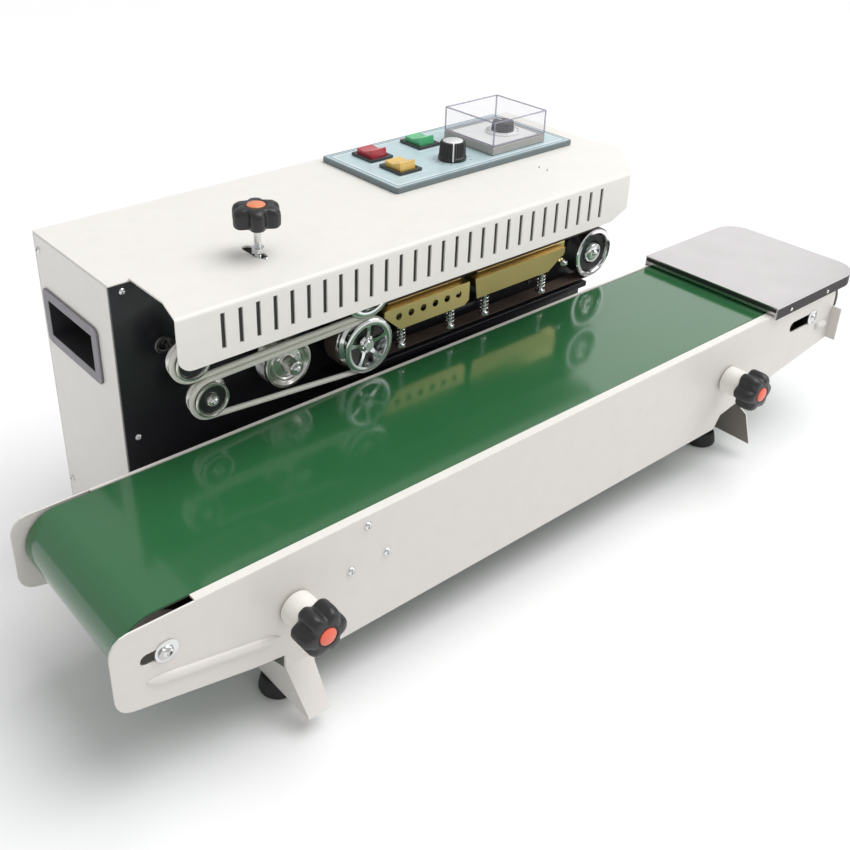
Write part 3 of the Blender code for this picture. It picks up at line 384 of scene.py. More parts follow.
class Piece:
    """One visible piece, put together from closed solids in machine millimetres."""

    def __init__(self, name):
        self.name = name
        self.work = bmesh.new()
        self.surfaces = []

    def _paint(self, faces, surface):
        if surface not in self.surfaces:
            self.surfaces.append(surface)
        for face in faces:
            face.material_index = self.surfaces.index(surface)

    def rings(self, rings, surface, where=Matrix.Identity(4), closed=False):
        """Join rings of points into a skin, with caps unless the rings close on themselves."""
        made = [[self.work.verts.new(where @ Vector(point)) for point in ring] for ring in rings]
        faces = []
        pairs = list(zip(made, made[1:]))
        if closed:
            pairs.append((made[-1], made[0]))
        for below, above in pairs:
            count = len(below)
            for i in range(count):
                j = (i + 1) % count
                faces.append(self.work.faces.new((below[i], below[j], above[j], above[i])))
        if not closed:
            faces += [self.work.faces.new(list(reversed(made[0]))), self.work.faces.new(made[-1])]
        bmesh.ops.recalc_face_normals(self.work, faces=faces)
        self._paint(faces, surface)
        return self

    def turned(self, profile, surface, at=(0, 0, 0), normal=Z, steps=48):
        """Turn a profile of (radius, height) points about `normal` through `at`."""
        rings = [[(*point, height) for point in circle((0, 0), max(radius, 0.02), steps)]
                 for radius, height in profile]
        return self.rings(rings, surface, pose(at, normal))

    def ring(self, profile, surface, at=(0, 0, 0), normal=Z, steps=64):
        """Turn a closed profile that stays clear of the axis."""
        rings = [[(*point, height) for point in circle((0, 0), radius, steps)] for radius, height in profile]
        return self.rings(rings, surface, pose(at, normal), closed=True)

    def prism(self, outline, low, high, surface, plane="XY", chamfer=0.0):
        """An outline between two heights; `chamfer` draws its end edges in."""
        middle = Vector((sum(p[0] for p in outline), sum(p[1] for p in outline))) / len(outline)

        def level(height, inset):
            ring = []
            for u, v in outline:
                arm = Vector((u, v)) - middle
                ring.append((*(middle + arm * (1 - inset / max(arm.length, inset + 0.001))), height))
            return ring
        levels = [level(low, 0), level(high, 0)]
        if chamfer:
            levels = [level(low, chamfer), level(low + chamfer, 0), level(high - chamfer, 0),
                      level(high - chamfer * 0.3, chamfer * 0.3), level(high, chamfer)]
        return self.rings(levels, surface, UPRIGHT[plane])

    def box(self, low, high, surface, chamfer=0.0):
        return self.prism([(low[0], low[1]), (high[0], low[1]), (high[0], high[1]), (low[0], high[1])],
                          low[2], high[2], surface, chamfer=chamfer)

    def tube(self, path, radius, surface, sides=12, closed=False):
        """A round bar along a path."""
        path = [Vector(p) for p in path]
        rings, side = [], None
        for i, point in enumerate(path):
            before = path[i - 1] if i or closed else point
            after = path[(i + 1) % len(path)] if i + 1 < len(path) or closed else point
            ahead = (after - before).normalized()
            if side is None:
                side = ahead.orthogonal()
            side = (side - ahead * side.dot(ahead)).normalized()
            other = ahead.cross(side)
            rings.append([point + side * (radius * math.cos(a)) + other * (radius * math.sin(a))
                          for a in (2 * math.pi * k / sides for k in range(sides))])
        return self.rings(rings, surface, closed=closed)

    def copy_of(self, node, surface):
        """The CAD node's own shape, with its triangles merged into flat faces."""
        mesh = frame["nodes"][node].data.copy()
        mesh.transform(Matrix.Scale(1 / MM, 4))
        before = set(self.work.faces)
        self.work.from_mesh(mesh)
        faces = [face for face in self.work.faces if face not in before]
        verts = list({vert for face in faces for vert in face.verts})
        bmesh.ops.remove_doubles(self.work, verts=verts, dist=0.004)
        faces = [face for face in self.work.faces if face not in before]
        edges = list({edge for face in faces for edge in face.edges})
        verts = list({vert for face in faces for vert in face.verts})
        bmesh.ops.dissolve_limit(self.work, angle_limit=math.radians(0.6), verts=verts, edges=edges)
        self._paint([face for face in self.work.faces if face not in before], surface)
        bpy.data.meshes.remove(mesh)
        return self

    def done(self, body, slot, replaces=(), bevel=0.0, segments=2, angle=32):
        mesh = bpy.data.meshes.new(self.name)
        self.work.to_mesh(mesh)
        self.work.free()
        mesh.transform(Matrix.Scale(MM, 4))
        for surface in self.surfaces:
            mesh.materials.append(surface)
        made = bpy.data.objects.new(self.name, mesh)
        bpy.context.scene.collection.objects.link(made)
        mesh.shade_smooth()
        if bevel:
            edges = made.modifiers.new("edges", "BEVEL")
            edges.width = bevel * MM
            edges.segments = segments
            edges.limit_method = "ANGLE"
            edges.angle_limit = math.radians(angle)
            made.modifiers.new("shading", "WEIGHTED_NORMAL")
        else:
            mesh.set_sharp_from_angle(angle=math.radians(angle))
        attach(made, body)
        if replaces:
            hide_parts(*replaces)
        return made


BODY_OF = {node: body for body, nodes in frame["record"]["behaviour"]["bodies"].items() for node in nodes}
SLOT_OF = {entry["node"]: entry["material_slot"] for entry in frame["record"]["subparts"]}


def refined(node, surface, bevel, segments=2, angle=32):
    """Replace a CAD node by the same shape with its sharp edges rounded."""
    return Piece(f"{node}_shell").copy_of(node, surface).done(BODY_OF[node], SLOT_OF[node], [node], bevel,
                                                              segments, angle)


def painted_light_by_facing(node, surface, other, chosen, bevel=0.45):
    """Like `refined`, with a second material on the faces that `chosen` picks: painted light and shade by the way the
    faces look.
    """
    piece = Piece(f"{node}_shell").copy_of(node, surface)
    piece._paint([face for face in piece.work.faces if chosen(face.normal, face.calc_center_median())], other)
    return piece.done(BODY_OF[node], SLOT_OF[node], [node], bevel)


def dress(surface, *nodes):
    """Give CAD nodes that stay visible their material."""
    for node in nodes:
        data = frame["nodes"][node].data
        if not data.materials:
            data.materials.append(surface)
        for index in range(len(data.materials)):
            data.materials[index] = surface


def fastener(piece, at, normal, radius=3.2, washer=0.0, surface=None):
    """A dome screw with a hexagon socket, on a washer if asked."""
    surface = surface or CHROME
    base = 0.0
    if washer:
        piece.turned([(0, -0.3), (washer, -0.3), (washer, 0.8), (washer - 0.5, 1.1), (0, 1.1)], surface, at, normal, 32)
        base = 1.0
    dome = [(radius * math.cos(math.radians(a)), base + radius * 0.62 * math.sin(math.radians(a)))
            for a in (0, 20, 40, 58)]
    socket = radius * 0.42
    piece.turned([(0, base - 0.6), (radius, base - 0.6), *dome, (socket, base + radius * 0.58),
                  (socket, base + radius * 0.18), (0, base + radius * 0.12)], surface, at, normal, 24)


# --- sheet metal ----------------------------------------------------------------------
for node in ("belt_guard", "top_cover", "side_panel_left", "side_panel_right", "rear_cover", "base_tray"):
    refined(node, CREAM, 0.45)
# Side plates: darker cream on the sides as painted shade, plain cream on the upward faces as painted light.
for node in ("conveyor_side_front", "conveyor_side_rear"):
    painted_light_by_facing(node, CONVEYOR_CREAM_PAINTED_SHADE, CREAM, lambda normal, place: normal.z > 0.9)
# The left arm gets the darker cream, painted shade.
refined("support_arm_left", CONVEYOR_CREAM_PAINTED_SHADE, 0.45)
# The right arm: darker cream as painted shade, and near-black painted shade on its inner faces that look left.
painted_light_by_facing("support_arm_right", CONVEYOR_CREAM_PAINTED_SHADE, ARM_INNER_PAINTED_SHADE, lambda normal, place: normal.x < -0.9)
refined("wall_plate", BLACK_SHEET, 0.3)
guard_low, guard_high = corners("belt_guard")
# A dark sheet just behind the guard's front: painted shade for the inside seen through the louvres.
shade_sheet = Piece("louvre_painted_shade_sheet")
shade_sheet.prism(rounded((-292, guard_low.z + 5), (145, guard_high.z - 2.6), 2), guard_low.y + 1.7, guard_low.y + 2.4,
             LOUVRE_PAINTED_SHADE, "XZ")
shade_sheet.done("chassis", "powder_coat_black")
refined("lower_ledge", BLACK_SHEET, 0.6)
refined("conveyor_bed", STEEL, 0.3)
dress(STEEL, "drive_roller", "idler_roller", "timing_gear_lower", "timing_gear_upper")
refined("gear_motor", CASTING, 1.2)

plate_low, plate_high = corners("conveyor_side_front")
PLATE_FACE = plate_low.y + 10.0                 # the ear stands 10 mm before the plate's face
rear_low, rear_high = corners("conveyor_side_rear")


def conveyor_fasteners():
    """Screws, slot bolts and pressed beads on the conveyor's side plates."""
    screws = Piece("conveyor_screws")
    for x, z in ((-221, 135), (-203, 103), (-236, 102)):
        fastener(screws, (x, PLATE_FACE, z), FRONT, 3.4)
    for y, normal in ((PLATE_FACE, FRONT), (rear_high.y - 10.0, Y)):
        fastener(screws, (-383, y, 116.3), normal, 4.8, washer=8.6)
        fastener(screws, (350, y, 119), normal, 4.6, washer=7.5)
    screws.done("conveyor", "chrome_plate")

    beads = Piece("side_plate_beads")
    for start, end, width in (((-398.5, 97.8), (-298.2, 76.4), 4.0), ((360, 106), (380, 103), 3.6)):
        line = [Vector(start).lerp(Vector(end), t / 12) for t in range(13)]
        heading = (line[-1] - line[0]).normalized()
        across = Vector((-heading.y, heading.x))
        rings = []
        for i, point in enumerate(line):
            taper = min(1.0, math.sin(math.pi * i / 12) * 3.4 + 0.25)
            ring = []
            for k in range(9):
                swing = math.pi * k / 8
                offset = across * (width * taper * math.cos(swing))
                ring.append((point.x + offset.x, PLATE_FACE + 0.1 - 3.2 * taper * math.sin(swing), point.y + offset.y))
            rings.append(ring)
        # The beads take the darker cream, painted shade.
        beads.rings(rings, CONVEYOR_CREAM_PAINTED_SHADE)
    beads.done("conveyor", "powder_coat_cream", angle=60)


conveyor_fasteners()


# --- conveyor -------------------------------------------------------------------------
def conveyor_belt():
    """The belt as a smooth loop: a glossy face on a woven back."""
    low, high = corners("conveyor_belt")
    radius = (high.z - low.z) / 2
    middle_z = (high.z + low.z) / 2
    thickness, edge = 2.0, 0.5
    ends = (low.x + radius, middle_z), (high.x - radius, middle_z)

    def line(inset):
        return loop_round(ends[0], radius - inset, ends[1], radius - inset, 48)
    skin = Piece("conveyor_belt_skin")
    section = [(low.y + edge, 0.0), (low.y, edge), (low.y, 1.3), (high.y, 1.3), (high.y, edge), (high.y - edge, 0.0)]
    loops = [line(inset) for _, inset in section]
    rings = [[(loops[k][i][0], section[k][0], loops[k][i][1]) for k in range(len(section))]
             for i in range(len(loops[0]))]
    skin.rings(rings, BELT, closed=True)
    back = [(low.y + 0.2, 1.3), (low.y + 0.2, thickness), (high.y - 0.2, thickness), (high.y - 0.2, 1.3)]
    loops = [line(inset) for _, inset in back]
    rings = [[(loops[k][i][0], back[k][0], loops[k][i][1]) for k in range(len(back))]
             for i in range(len(loops[0]))]
    skin.rings(rings, BELT_BACK, closed=True)
    skin.done("conveyor", "belt_pvc", ["conveyor_belt"])


conveyor_belt()


def infeed_table():
    low, high = corners("infeed_table")
    # The table's front-facing faces below its top get painted shade.
    painted_light_by_facing("infeed_table", TABLE_STEEL, SKIRT_PAINTED_SHADE,
             lambda normal, place: normal.y < -0.3 and place.z < high.z - 1.5, 0.4)
    screws_and_shade_strip = Piece("table_screws_and_shade_strip")
    # A dark strip along the table's left lip: painted shade for the shadow line between the table and the belt.
    screws_and_shade_strip.box((low.x - 0.25, low.y + 1.2, high.z - 5.2), (low.x + 0.4, high.y - 1.2, high.z - 1.5), RUBBER, 0.1)
    for x in (298, 362):
        fastener(screws_and_shade_strip, (x, low.y - 0.2, low.z + 4.5), FRONT, 1.8)
    screws_and_shade_strip.done("conveyor", "steel_brushed")


infeed_table()


# --- knobs ----------------------------------------------------------------------------
def star_knob(piece, at, normal, radius, thickness, depth, cap):
    """A six-lobed hand knob with a pressed-in cap; heights run from its back to its face."""
    where = pose(at, normal)
    shape = lobed(radius, depth)
    levels = ((0.80, 0.0), (0.93, 0.4), (0.985, 1.6), (1.0, 3.6), (1.0, thickness * 0.55), (0.985, thickness * 0.72),
              (0.93, thickness * 0.86), (0.84, thickness * 0.95), (0.70, thickness), (0.52, thickness + 0.1),
              (0.47, thickness - 0.7))
    rings = []
    for share, height in levels:
        # the face grows rounder towards the middle
        ring = []
        for u, v in shape:
            reach = math.hypot(u, v)
            round_reach = radius - depth * 0.5
            keep = min(1.0, max(0.0, (share - 0.45) / 0.45))
            wanted = (reach * keep + round_reach * (1 - keep)) * share
            ring.append((u / reach * wanted, v / reach * wanted, height))
        rings.append(ring)
    piece.rings(rings, BLACK_PLASTIC, where)
    face = thickness - 0.7
    inner = radius * 0.36
    piece.turned([(0, face - 0.4), (inner, face - 0.4), (inner, face + 0.7), (inner - 0.7, face + 1.3),
                  (0, face + 1.45)], cap, at, normal, 40)
    return piece


for side in ("left", "right"):
    node = f"clamp_knob_{side}"
    low, high = corners(node)
    hub = centre(node)
    knob = Piece(f"{node}_grip")
    grip = 20.5
    star_knob(knob, (hub.x, low.y + grip, hub.z), FRONT, 18.8, grip - 1.5, 4.6, RED_CAP)
    reach = PLATE_FACE - low.y - grip - 1.4
    knob.turned([(0, 0), (12.4, 0), (13.0, 0.6), (13.0, reach - 0.6), (12.4, reach), (9, reach), (9, reach + 1),
                 (0, reach + 1)], CREAM, (hub.x, low.y + grip + reach, hub.z), FRONT, 36)
    knob.turned([(0, 0), (10.5, 0), (10.5, 1.4), (0, 1.4)], CHROME, (hub.x, PLATE_FACE, hub.z), FRONT, 36)
    knob.turned([(0, 0), (3.0, 0), (3.0, 11), (0, 11)], STEEL, (hub.x, high.y, hub.z), FRONT, 24)
    knob.done(node, "plastic_black", [node], angle=40)

low, high = corners("pressure_knob")
hub = centre("pressure_knob")
crown = Piece("pressure_knob_grip")
star_knob(crown, (hub.x, hub.y, low.z), Z, 19.5, high.z - low.z - 1.5, 5.0, ORANGE_CAP)
crown.turned([(0, -3.5), (6.4, -3.5), (7.0, 0.4), (0, 0.4)], BLACK_PLASTIC, (hub.x, hub.y, low.z), Z, 32)
crown.done("pressure_knob", "plastic_black", ["pressure_knob"], angle=40)

low, high = corners("pressure_spindle")
rod = Piece("pressure_spindle_rod")
rod.turned([(0, 0), (2.3, 0), (2.8, 0.6), (2.8, 18)] + [(2.8 - 0.35 * (i % 2), 18 + i * 0.6) for i in range(40)]
           + [(2.8, 42.5), (2.8, high.z - low.z), (0, high.z - low.z)], CHROME, (hub.x, hub.y, low.z), Z, 24)
rod.turned([(0, 0), (5.5, 0), (5.5, 4), (0, 4)], CHROME, (hub.x, hub.y, guard_high.z + 1.9), Z, 6)
rod.done("pressure_spindle", "chrome_plate", ["pressure_spindle"])


# --- sealing train --------------------------------------------------------------------
def drive_wheel(level):
    """A spoked wheel with a grooved rim for the guide belt and a drum for the sealing band."""
    node = f"drive_wheel_{level}"
    hub = centre(node)
    low, high = corners(node)
    at = (hub.x, 0, hub.z)
    wheel = Piece(f"{node}_spoked")
    drum, groove = 25.0, 20.9
    wheel.ring([(19.0, low.y + 1.2), (19.6, low.y + 0.4), (21.2, low.y), (24.3, low.y + 0.3), (25.2, low.y + 1.0),
                (drum, low.y + 2.0), (groove, 12.2), (groove, 16.8), (drum, 19.5), (25.3, 20.4), (drum, 21.0),
                (24.2, 22.8), (drum - 0.2, 23.6), (drum, 24.0), (drum, 38.6), (24.4, 39.4), (19.5, 39.4),
                (19.0, 38.8)], CHROME, at, Y, 96)
    wheel.turned([(0, low.y + 0.2), (4.2, low.y + 0.2), (5.4, low.y + 1.4), (5.4, low.y + 3), (8.2, low.y + 4.2),
                  (8.6, low.y + 7), (8.6, 38), (4.1, 38.6), (4.1, high.y), (0, high.y)], CHROME, at, Y, 48)
    wheel.turned([(0, 25), (19.4, 25), (19.4, 27), (0, 27)], DARK_STEEL, at, Y, 48)
    spokes = 5
    for i in range(spokes):
        angle = 2 * math.pi * i / spokes + 0.35
        ahead = Vector((math.cos(angle), 0, math.sin(angle)))
        side = Vector((-math.sin(angle), 0, math.cos(angle)))
        rings = []
        for reach, width, front, back in ((6.5, 4.4, low.y + 4.4, 12), (11, 3.0, low.y + 3.6, 10.6),
                                          (15.5, 3.1, low.y + 2.6, 9.6), (19.8, 4.6, low.y + 1.8, 9.4)):
            spot = Vector(at) + ahead * reach
            rings.append([spot + side * (width * u) + Vector((0, depth, 0)) for u, depth in (
                (-0.5, back), (-0.5, front + 1.0), (-0.3, front), (0.3, front), (0.5, front + 1.0), (0.5, back))])
        wheel.rings(rings, CHROME)
    wheel.done(BODY_OF[node], "chrome_plate", [node], angle=38)


def flat_wheel(node, profile, bolts=(), tyre=None, front=0.0, finish=None):
    """A turned wheel; `bolts` are small screws about its axis."""
    hub = centre(node)
    at = (hub.x, 0, hub.z)
    wheel = Piece(f"{node}_turned")
    wheel.turned(profile, finish or CHROME, at, Y, 72)
    if tyre:
        wheel.ring(tyre, BLACK_PLASTIC, at, Y, 72)
    for reach, angle in bolts:
        turn = math.radians(angle)
        fastener(wheel, (hub.x + reach * math.cos(turn), front, hub.z + reach * math.sin(turn)), FRONT, 1.9)
    fastener(wheel, (hub.x, profile[0][1], hub.z), FRONT, 3.6)
    wheel.done(BODY_OF[node], SLOT_OF[node], [node], angle=38)


for level in ("lower", "upper"):
    drive_wheel(level)
    drum, tail = 25.0, 53.0
    flat_wheel(f"driven_wheel_{level}",
               [(0, 21.0), (6.5, 21.0), (9.6, 22.4), (10.6, 24.5), (11.0, 29.0), (19.6, 29.0), (20.2, 23.5),
                (21.0, 22.2), (24.2, 22.2), (25.3, 23.2), (drum, 24.0), (drum, 38.5), (24.4, 39.4), (4.0, 39.6),
                (4.0, tail), (0, tail)],
               tyre=[(11.4, 26.4), (12.0, 25.4), (19.0, 25.4), (19.7, 26.4), (19.7, 29.5), (11.4, 29.5)])
    radius = 22.2
    ribs = [(radius - 0.35 * (i % 2), 25 + i * 0.5) for i in range(27)]
    flat_wheel(f"embossing_wheel_{level}",
               [(0, 10.2), (5.0, 10.2), (6.2, 11.2), (6.8, 15.0), (7.4, 22.6), (13.0, 23.4), (14.2, 22.4), (15.8, 22.4),
                (16.8, 23.6), (18.2, 22.2), (19.2, 21.2), (21.4, 21.4), (radius, 22.6), (radius, 24.5), *ribs,
                (radius, 38.6), (21.6, 39.0), (4.0, 39.2), (4.0, tail), (0, tail)],
               bolts=[(11, 30), (11, 150), (11, 270)], front=23.4, finish=ALUMINIUM)
    flat_wheel(f"guide_pulley_{level}",
               [(0, 8.1), (4.2, 8.1), (5.0, 9.0), (5.4, 12.6), (11.6, 12.6), (12.2, 9.8), (13.0, 9.0), (14.0, 9.0),
                (14.6, 9.8), (14.6, 11.0), (13.3, 11.9), (13.3, 16.6), (17.2, 18.6), (17.6, 19.4), (17.6, 21.4),
                (16.8, 22.0), (4.0, 22.0), (4.0, tail), (0, tail)],
               tyre=[(5.8, 12.2), (11.4, 12.2), (11.4, 13.0), (5.8, 13.0)], finish=ALUMINIUM)


def guide_belt(level):
    """The round urethane belt between the guide pulley and the drive wheel."""
    node = f"guide_belt_{level}"
    low, high = corners(node)
    thickness = high.y - low.y
    pulley, wheel = centre(f"guide_pulley_{level}"), centre(f"drive_wheel_{level}")
    small, big = pulley.x - low.x, high.x - wheel.x
    path = [(u, (low.y + high.y) / 2, v)
            for u, v in loop_round((pulley.x, pulley.z), small - thickness / 2, (wheel.x, wheel.z),
                                   big - thickness / 2, 36)]
    Piece(f"{node}_round").tube(path, thickness / 2, URETHANE, 16, closed=True).done("chassis", "guide_urethane", [node])


def sealing_band(level):
    node = f"sealing_band_{level}"
    low, high = corners(node)
    wheels = centre(f"drive_wheel_{level}"), centre(f"driven_wheel_{level}")
    radius = (high.z - low.z) / 2
    rings = []
    lines = [loop_round((wheels[0].x, wheels[0].z), radius - inset, (wheels[1].x, wheels[1].z), radius - inset, 48)
             for inset in (0.0, 0.7)]
    for outer, inner in zip(*lines):
        rings.append([(outer[0], low.y, outer[1]), (outer[0], high.y, outer[1]), (inner[0], high.y, inner[1]),
                      (inner[0], low.y, inner[1])])
    Piece(f"{node}_cloth").rings(rings, BAND, closed=True).done("chassis", "band_ptfe", [node])


for level in ("lower", "upper"):
    guide_belt(level)
    sealing_band(level)

for node in ("cooling_block_lower", "cooling_block_upper", "heating_block_lower", "heating_block_upper"):
    refined(node, BRASS, 0.5)
refined("cooling_cover", BRASS, 0.3)
# The heating cover gets the darker brass, painted shade.
refined("heating_cover", BRASS_PAINTED_SHADE, 0.3)


def spring_bolts():
    """Chrome bolts with springs that press the lower blocks up, hanging from their carrier."""
    bolts = Piece("block_spring_bolts")
    for x, foot in ((-57.5, 154.5), (0.5, 154.5), (43.5, 154.5), (119.5, 154.5), (148.5, 176)):
        y, head = 17.6, 181.5
        bolts.turned([(0, foot), (3.8, foot), (4.6, foot + 0.8), (4.6, foot + 3.4), (4.0, foot + 4), (2.2, foot + 4),
                      (2.2, head), (0, head)], CHROME, (x, y, 0), Z, 24)
        if head - foot > 10:
            turns, per_turn = 4, 14
            start, rise = foot + 5, 173.5 - foot - 5
            path = [(x + 3.8 * math.cos(2 * math.pi * i / per_turn), y + 3.8 * math.sin(2 * math.pi * i / per_turn),
                     start + rise * i / (turns * per_turn)) for i in range(turns * per_turn + 1)]
            bolts.tube(path, 0.6, CHROME, 8)
    bolts.done("chassis", "chrome_plate")

    rail = Piece("block_carrier")
    rail.box((-72, 23, 165), (-52, 46.5, 168), BLACK_SHEET, 0.3)
    for x0, x1 in ((-10, 50), (108, 128)):
        rail.box((x0, 23, 165), (x1, 46.5, 168), BLACK_SHEET, 0.3)
    rail.done("chassis", "powder_coat_black")


spring_bolts()


# --- controls -------------------------------------------------------------------------
def control_panel():
    """The panel's edge and its printed overlay, with generic frames and scale marks."""
    refined("control_panel", PANEL_EDGE, 0.6)
    low, high = corners("control_panel")
    top = high.z
    overlay = Piece("panel_overlay")
    controls = [corners(f"switch_bezel_{name}") for name in ("heater", "fan", "conveyor")]
    speed = centre("speed_knob")

    def strip(start, end, width, surface, lift=0.12):
        (x0, y0), (x1, y1) = start, end
        along = (Vector(end) - Vector(start)).normalized()
        across = Vector((-along.y, along.x)) * width / 2
        corners_ = [Vector(start) - across, Vector(end) - across, Vector(end) + across, Vector(start) + across]
        overlay.prism([tuple(c) for c in corners_], top - 0.1, top + lift, surface)

    inset = 2.2
    x0, y0, x1, y1 = low.x + inset, low.y + inset, high.x - inset, high.y - inset
    plate = corners("temperature_controller")
    holes = [(a.x, b.x, a.y, b.y) for a, b in controls] + [(plate[0].x, plate[1].x, plate[0].y, plate[1].y)]
    columns = sorted({x0, x1, *[h[0] + 1 for h in holes], *[h[1] - 1 for h in holes], speed.x - 8, speed.x + 8})
    rows = sorted({y0, y1, *[h[2] + 1 for h in holes], *[h[3] - 1 for h in holes], speed.y - 8, speed.y + 8})
    cover = [*[(h[0] + 1, h[1] - 1, h[2] + 1, h[3] - 1) for h in holes],
             (speed.x - 8, speed.x + 8, speed.y - 8, speed.y + 8)]
    for left, right in zip(columns, columns[1:]):
        run = None
        for bottom, up in zip(rows, rows[1:]):
            blocked = any(left >= c[0] - 0.01 and right <= c[1] + 0.01 and bottom >= c[2] - 0.01
                          and up <= c[3] + 0.01 for c in cover)
            if blocked:
                if run:
                    overlay.box((left, run[0], top - 0.05), (right, run[1], top + 0.06), PANEL_BLUE)
                run = None
            else:
                run = (run[0] if run else bottom, up)
        if run:
            overlay.box((left, run[0], top - 0.05), (right, run[1], top + 0.06), PANEL_BLUE)
    for a, b, width, surface in ((5.0, 0, 0.7, PRINT_DARK), (7.4, 0, 1.3, PRINT_WHITE)):
        left, right, bottom, up = low.x + a, high.x - a, low.y + a, high.y - a
        for start, end in (((left, bottom), (right, bottom)), ((right, bottom), (right, up)),
                           ((right, up), (left, up)), ((left, up), (left, bottom))):
            strip(start, end, width, surface)
    for name, (a, b) in zip(("heater", "fan", "conveyor"), controls):
        strip((a.x - 3, a.y - 2.6), (b.x + 3, a.y - 2.6), 1.6, PRINT_WHITE)
    for i in range(11):
        turn = math.radians(225 - 27 * i)
        ahead = Vector((math.cos(turn), math.sin(turn)))
        here = Vector((speed.x, speed.y))
        strip(tuple(here + ahead * 15.6), tuple(here + ahead * 18.4), 0.7, PRINT_DARK)
    overlay.done("chassis", "panel_overlay")


control_panel()

for name in ("heater", "fan", "conveyor"):
    refined(f"switch_bezel_{name}", GLOSS_BLACK, 0.5)
for name, surface in (("heater", RED), ("fan", YELLOW), ("conveyor", GREEN)):
    node = f"rocker_{name}"
    refined(node, surface, 0.7, 3)


def speed_knob():
    node = "speed_knob"
    low, high = corners(node)
    hub = centre(node)
    foot = corners("control_panel")[1].z + 0.3
    count = 96

    def fluted(radius, depth):
        return [(radius - depth * (0.5 - 0.5 * math.cos(24 * 2 * math.pi * i / count))) for i in range(count)]
    knob = Piece("speed_knob_fluted")
    rings = []
    for radius, depth, height in ((13.0, 0, foot), (13.3, 0, foot + 0.6), (13.2, 0, foot + 3.0), (12.6, 0, foot + 3.6),
                                  (12.5, 0.9, foot + 4.0), (11.9, 0.9, high.z - 1.6), (11.2, 0.5, high.z - 0.8),
                                  (9.6, 0, high.z - 0.5)):
        reaches = fluted(radius, depth)
        rings.append([(hub.x + reach * math.cos(2 * math.pi * i / count), hub.y + reach * math.sin(2 * math.pi * i / count),
                       height) for i, reach in enumerate(reaches)])
    knob.rings(rings, BLACK_PLASTIC)
    knob.turned([(0, high.z - 0.9), (9.2, high.z - 0.9), (9.2, high.z - 0.2), (8.8, high.z), (0, high.z)], CAP_SILVER,
                (hub.x, hub.y, 0), Z, 48)
    knob.turned([(0, low.z), (3.2, low.z), (3.2, foot), (0, foot)], STEEL, (hub.x, hub.y, 0), Z, 24)
    side = Vector((-0.63, -0.77))
    across = Vector((-side.y, side.x)) * 0.65
    rings = []
    for reach, height in ((13.35, foot + 0.7), (13.3, foot + 2.9), (12.65, foot + 4.0), (12.1, high.z - 1.6),
                          (11.3, high.z - 0.6), (9.4, high.z - 0.35)):
        outer = Vector((hub.x, hub.y)) + side * reach
        inner = Vector((hub.x, hub.y)) + side * (reach - 1.2)
        rings.append([(*(outer - across), height), (*(outer + across), height), (*(inner + across), height - 0.4),
                      (*(inner - across), height - 0.4)])
    knob.rings(rings, WHITE_PLASTIC)
    knob.done("speed_knob", "plastic_black", [node], angle=40)


speed_knob()


def temperature_controller():
    refined("temperature_controller", PALE_GREY, 0.8, 3)
    low, high = corners("temperature_controller")
    hub = centre("temperature_dial")
    plate = Piece("dial_plate")
    plate.prism(rounded((low.x + 5, low.y + 5), (high.x - 5, high.y - 5), 3), high.z - 0.1, high.z + 0.18, WHITE_PLASTIC)
    plate.done("chassis", "plastic_pale_grey")

    dial = Piece("temperature_dial_knob")
    base, top = corners("temperature_dial")
    dial.turned([(0, base.z), (17, base.z), (17, base.z + 0.9), (16.4, base.z + 1.4), (0, base.z + 1.5)], WHITE_PLASTIC,
                (hub.x, hub.y, 0), Z, 72)
    count = 72
    rings = []
    for radius, depth, height in ((11.0, 0, base.z + 1.4), (11.0, 0.7, base.z + 2.4), (10.4, 0.7, top.z - 1.2),
                                  (9.6, 0.3, top.z - 0.3), (8.0, 0, top.z)):
        rings.append([(hub.x + (radius - depth * (i % 4 in (0, 1))) * math.cos(2 * math.pi * i / count),
                       hub.y + (radius - depth * (i % 4 in (0, 1))) * math.sin(2 * math.pi * i / count), height)
                      for i in range(count)])
    dial.rings(rings, BLACK_PLASTIC)
    for i in range(31):
        turn = math.radians(240 - 10 * i)
        ahead, side = Vector((math.cos(turn), math.sin(turn))), Vector((-math.sin(turn), math.cos(turn)))
        start = 13.2 if i % 5 == 0 else 14.4
        quad = [Vector((hub.x, hub.y)) + ahead * r + side * w for r, w in
                ((start, -0.22), (16.0, -0.22), (16.0, 0.22), (start, 0.22))]
        dial.prism([tuple(q) for q in quad], base.z + 1.35, base.z + 1.62, PRINT_DARK)
    dial.box((hub.x - 0.7, hub.y + 2, top.z - 0.1), (hub.x + 0.7, hub.y + 8.4, top.z + 0.15), WHITE_PLASTIC)
    dial.done("temperature_dial", "plastic_black", ["temperature_dial"], angle=40)


temperature_controller()


def meter_cover():
    """The clear cover with the thicker moulded rim that outlines it."""
    refined("meter_cover", CLEAR, 0.8, 3)
    low, high = corners("meter_cover")
    rim, thick = Piece("meter_cover_rim"), 0.8
    x0, y0, z0 = low.x + thick, low.y + thick, low.z + thick
    x1, y1, z1 = high.x - thick, high.y - thick, high.z - thick
    for z in (z0, z1):
        rim.tube([(x0, y0, z), (x1, y0, z), (x1, y1, z), (x0, y1, z)], thick, COVER_RIM, 8, closed=True)
    for x, y in ((x0, y0), (x1, y0), (x1, y1), (x0, y1)):
        rim.tube([(x, y, z0), (x, y, z1)], thick, COVER_RIM, 8)
    rim.done("meter_cover", SLOT_OF["meter_cover"])


meter_cover()


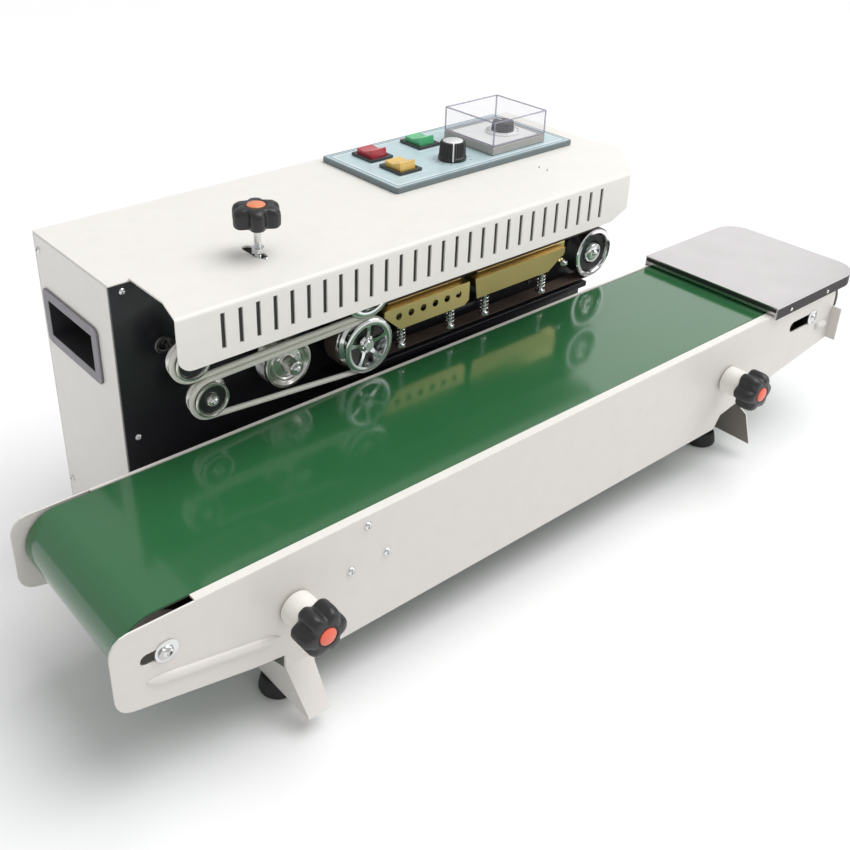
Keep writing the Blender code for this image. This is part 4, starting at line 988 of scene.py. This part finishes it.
# --- handles, inlet, feet and housing screws ------------------------------------------
def handle(side):
    """The recessed handle: a grey frame round a cup with painted shade on its deep faces."""
    node = f"handle_{side}"
    low, high = corners(node)
    cup = Piece(f"{node}_cup").copy_of(node, GREY_PLASTIC)
    face = low.x if side == "left" else high.x
    inward = 1 if side == "left" else -1
    # Faces more than 4 mm into the recess get painted shade.
    cup.surfaces.append(RECESS_PAINTED_SHADE)
    for part in cup.work.faces:
        if (part.calc_center_median().x - face) * inward > 4:
            part.material_index = 1
    cup.done("chassis", "plastic_grey", [node], 0.7, 3)


handle("left")
handle("right")


def power_inlet():
    refined("power_inlet", GLOSS_BLACK, 0.6, 3)
    low, high = corners("power_inlet")
    middle = centre("power_inlet")
    pins = Piece("inlet_pins")
    for dx, dz in ((-7, -2.4), (0, 2.6), (7, -2.4)):
        pins.box((middle.x + dx - 1.0, 159.5, middle.z + dz - 2.0), (middle.x + dx + 1.0, 175, middle.z + dz + 2.0),
                 BRASS_PIN, 0.3)
    for dx in (-28, 28):
        fastener(pins, (middle.x + dx, high.y, middle.z), Y, 2.4)
    pins.done("chassis", "plastic_black")


power_inlet()

for corner in ("front_left", "front_right", "rear_left", "rear_right"):
    node = f"foot_{corner}"
    low, high = corners(node)
    hub = centre(node)
    foot = Piece(f"{node}_pad")
    reach = (high.x - low.x) / 2
    foot.turned([(0, 0), (reach - 1.6, 0), (reach - 0.6, 0.8), (reach, 2.2), (reach - 0.4, 5), (reach - 2.0, 12.2),
                 (reach - 3.0, high.z), (0, high.z)], RUBBER, (hub.x, hub.y, 0), Z, 40)
    foot.done("chassis", "foot_rubber", [node], angle=50)


def housing_screws():
    """Small screws on the wall, the guard, the side and the back panels."""
    wall = corners("side_panel_left")[0].y - 2.3
    dark = Piece("wall_screws")
    for x, z in ((-299, 268.6), (-299, 143), (206, 268), (206, 143)):
        fastener(dark, (x, wall, z), FRONT, 3.0)
    dark.ring([(4.2, wall + 0.2), (4.2, wall - 1.6), (5.0, wall - 2.2), (6.6, wall - 2.2), (7.4, wall - 1.4),
               (7.4, wall + 0.2)], DARK_STEEL, (-271, 0, 216), Y, 40)
    dark.done("chassis", "chrome_plate")
    pale = Piece("cover_screws")
    guard_top = corners("belt_guard")[1].z
    for y in (20, 30):
        fastener(pale, (118, y, guard_top), Z, 1.8)
    fastener(pale, (-196, 14.5, guard_top), Z, 2.0)
    back = corners("rear_cover")[1]
    for x in (-302, -48, 206):
        for z in (30, 262):
            fastener(pale, (x, back.y, z), Y, 3.0)
    for node, normal in (("side_panel_left", (-1, 0, 0)), ("side_panel_right", X)):
        low, high = corners(node)
        face = low.x if normal[0] < 0 else high.x
        for z in (40, 262):
            fastener(pale, (face, 169, z), normal, 3.0)
    pale.done("chassis", "chrome_plate")


housing_screws()
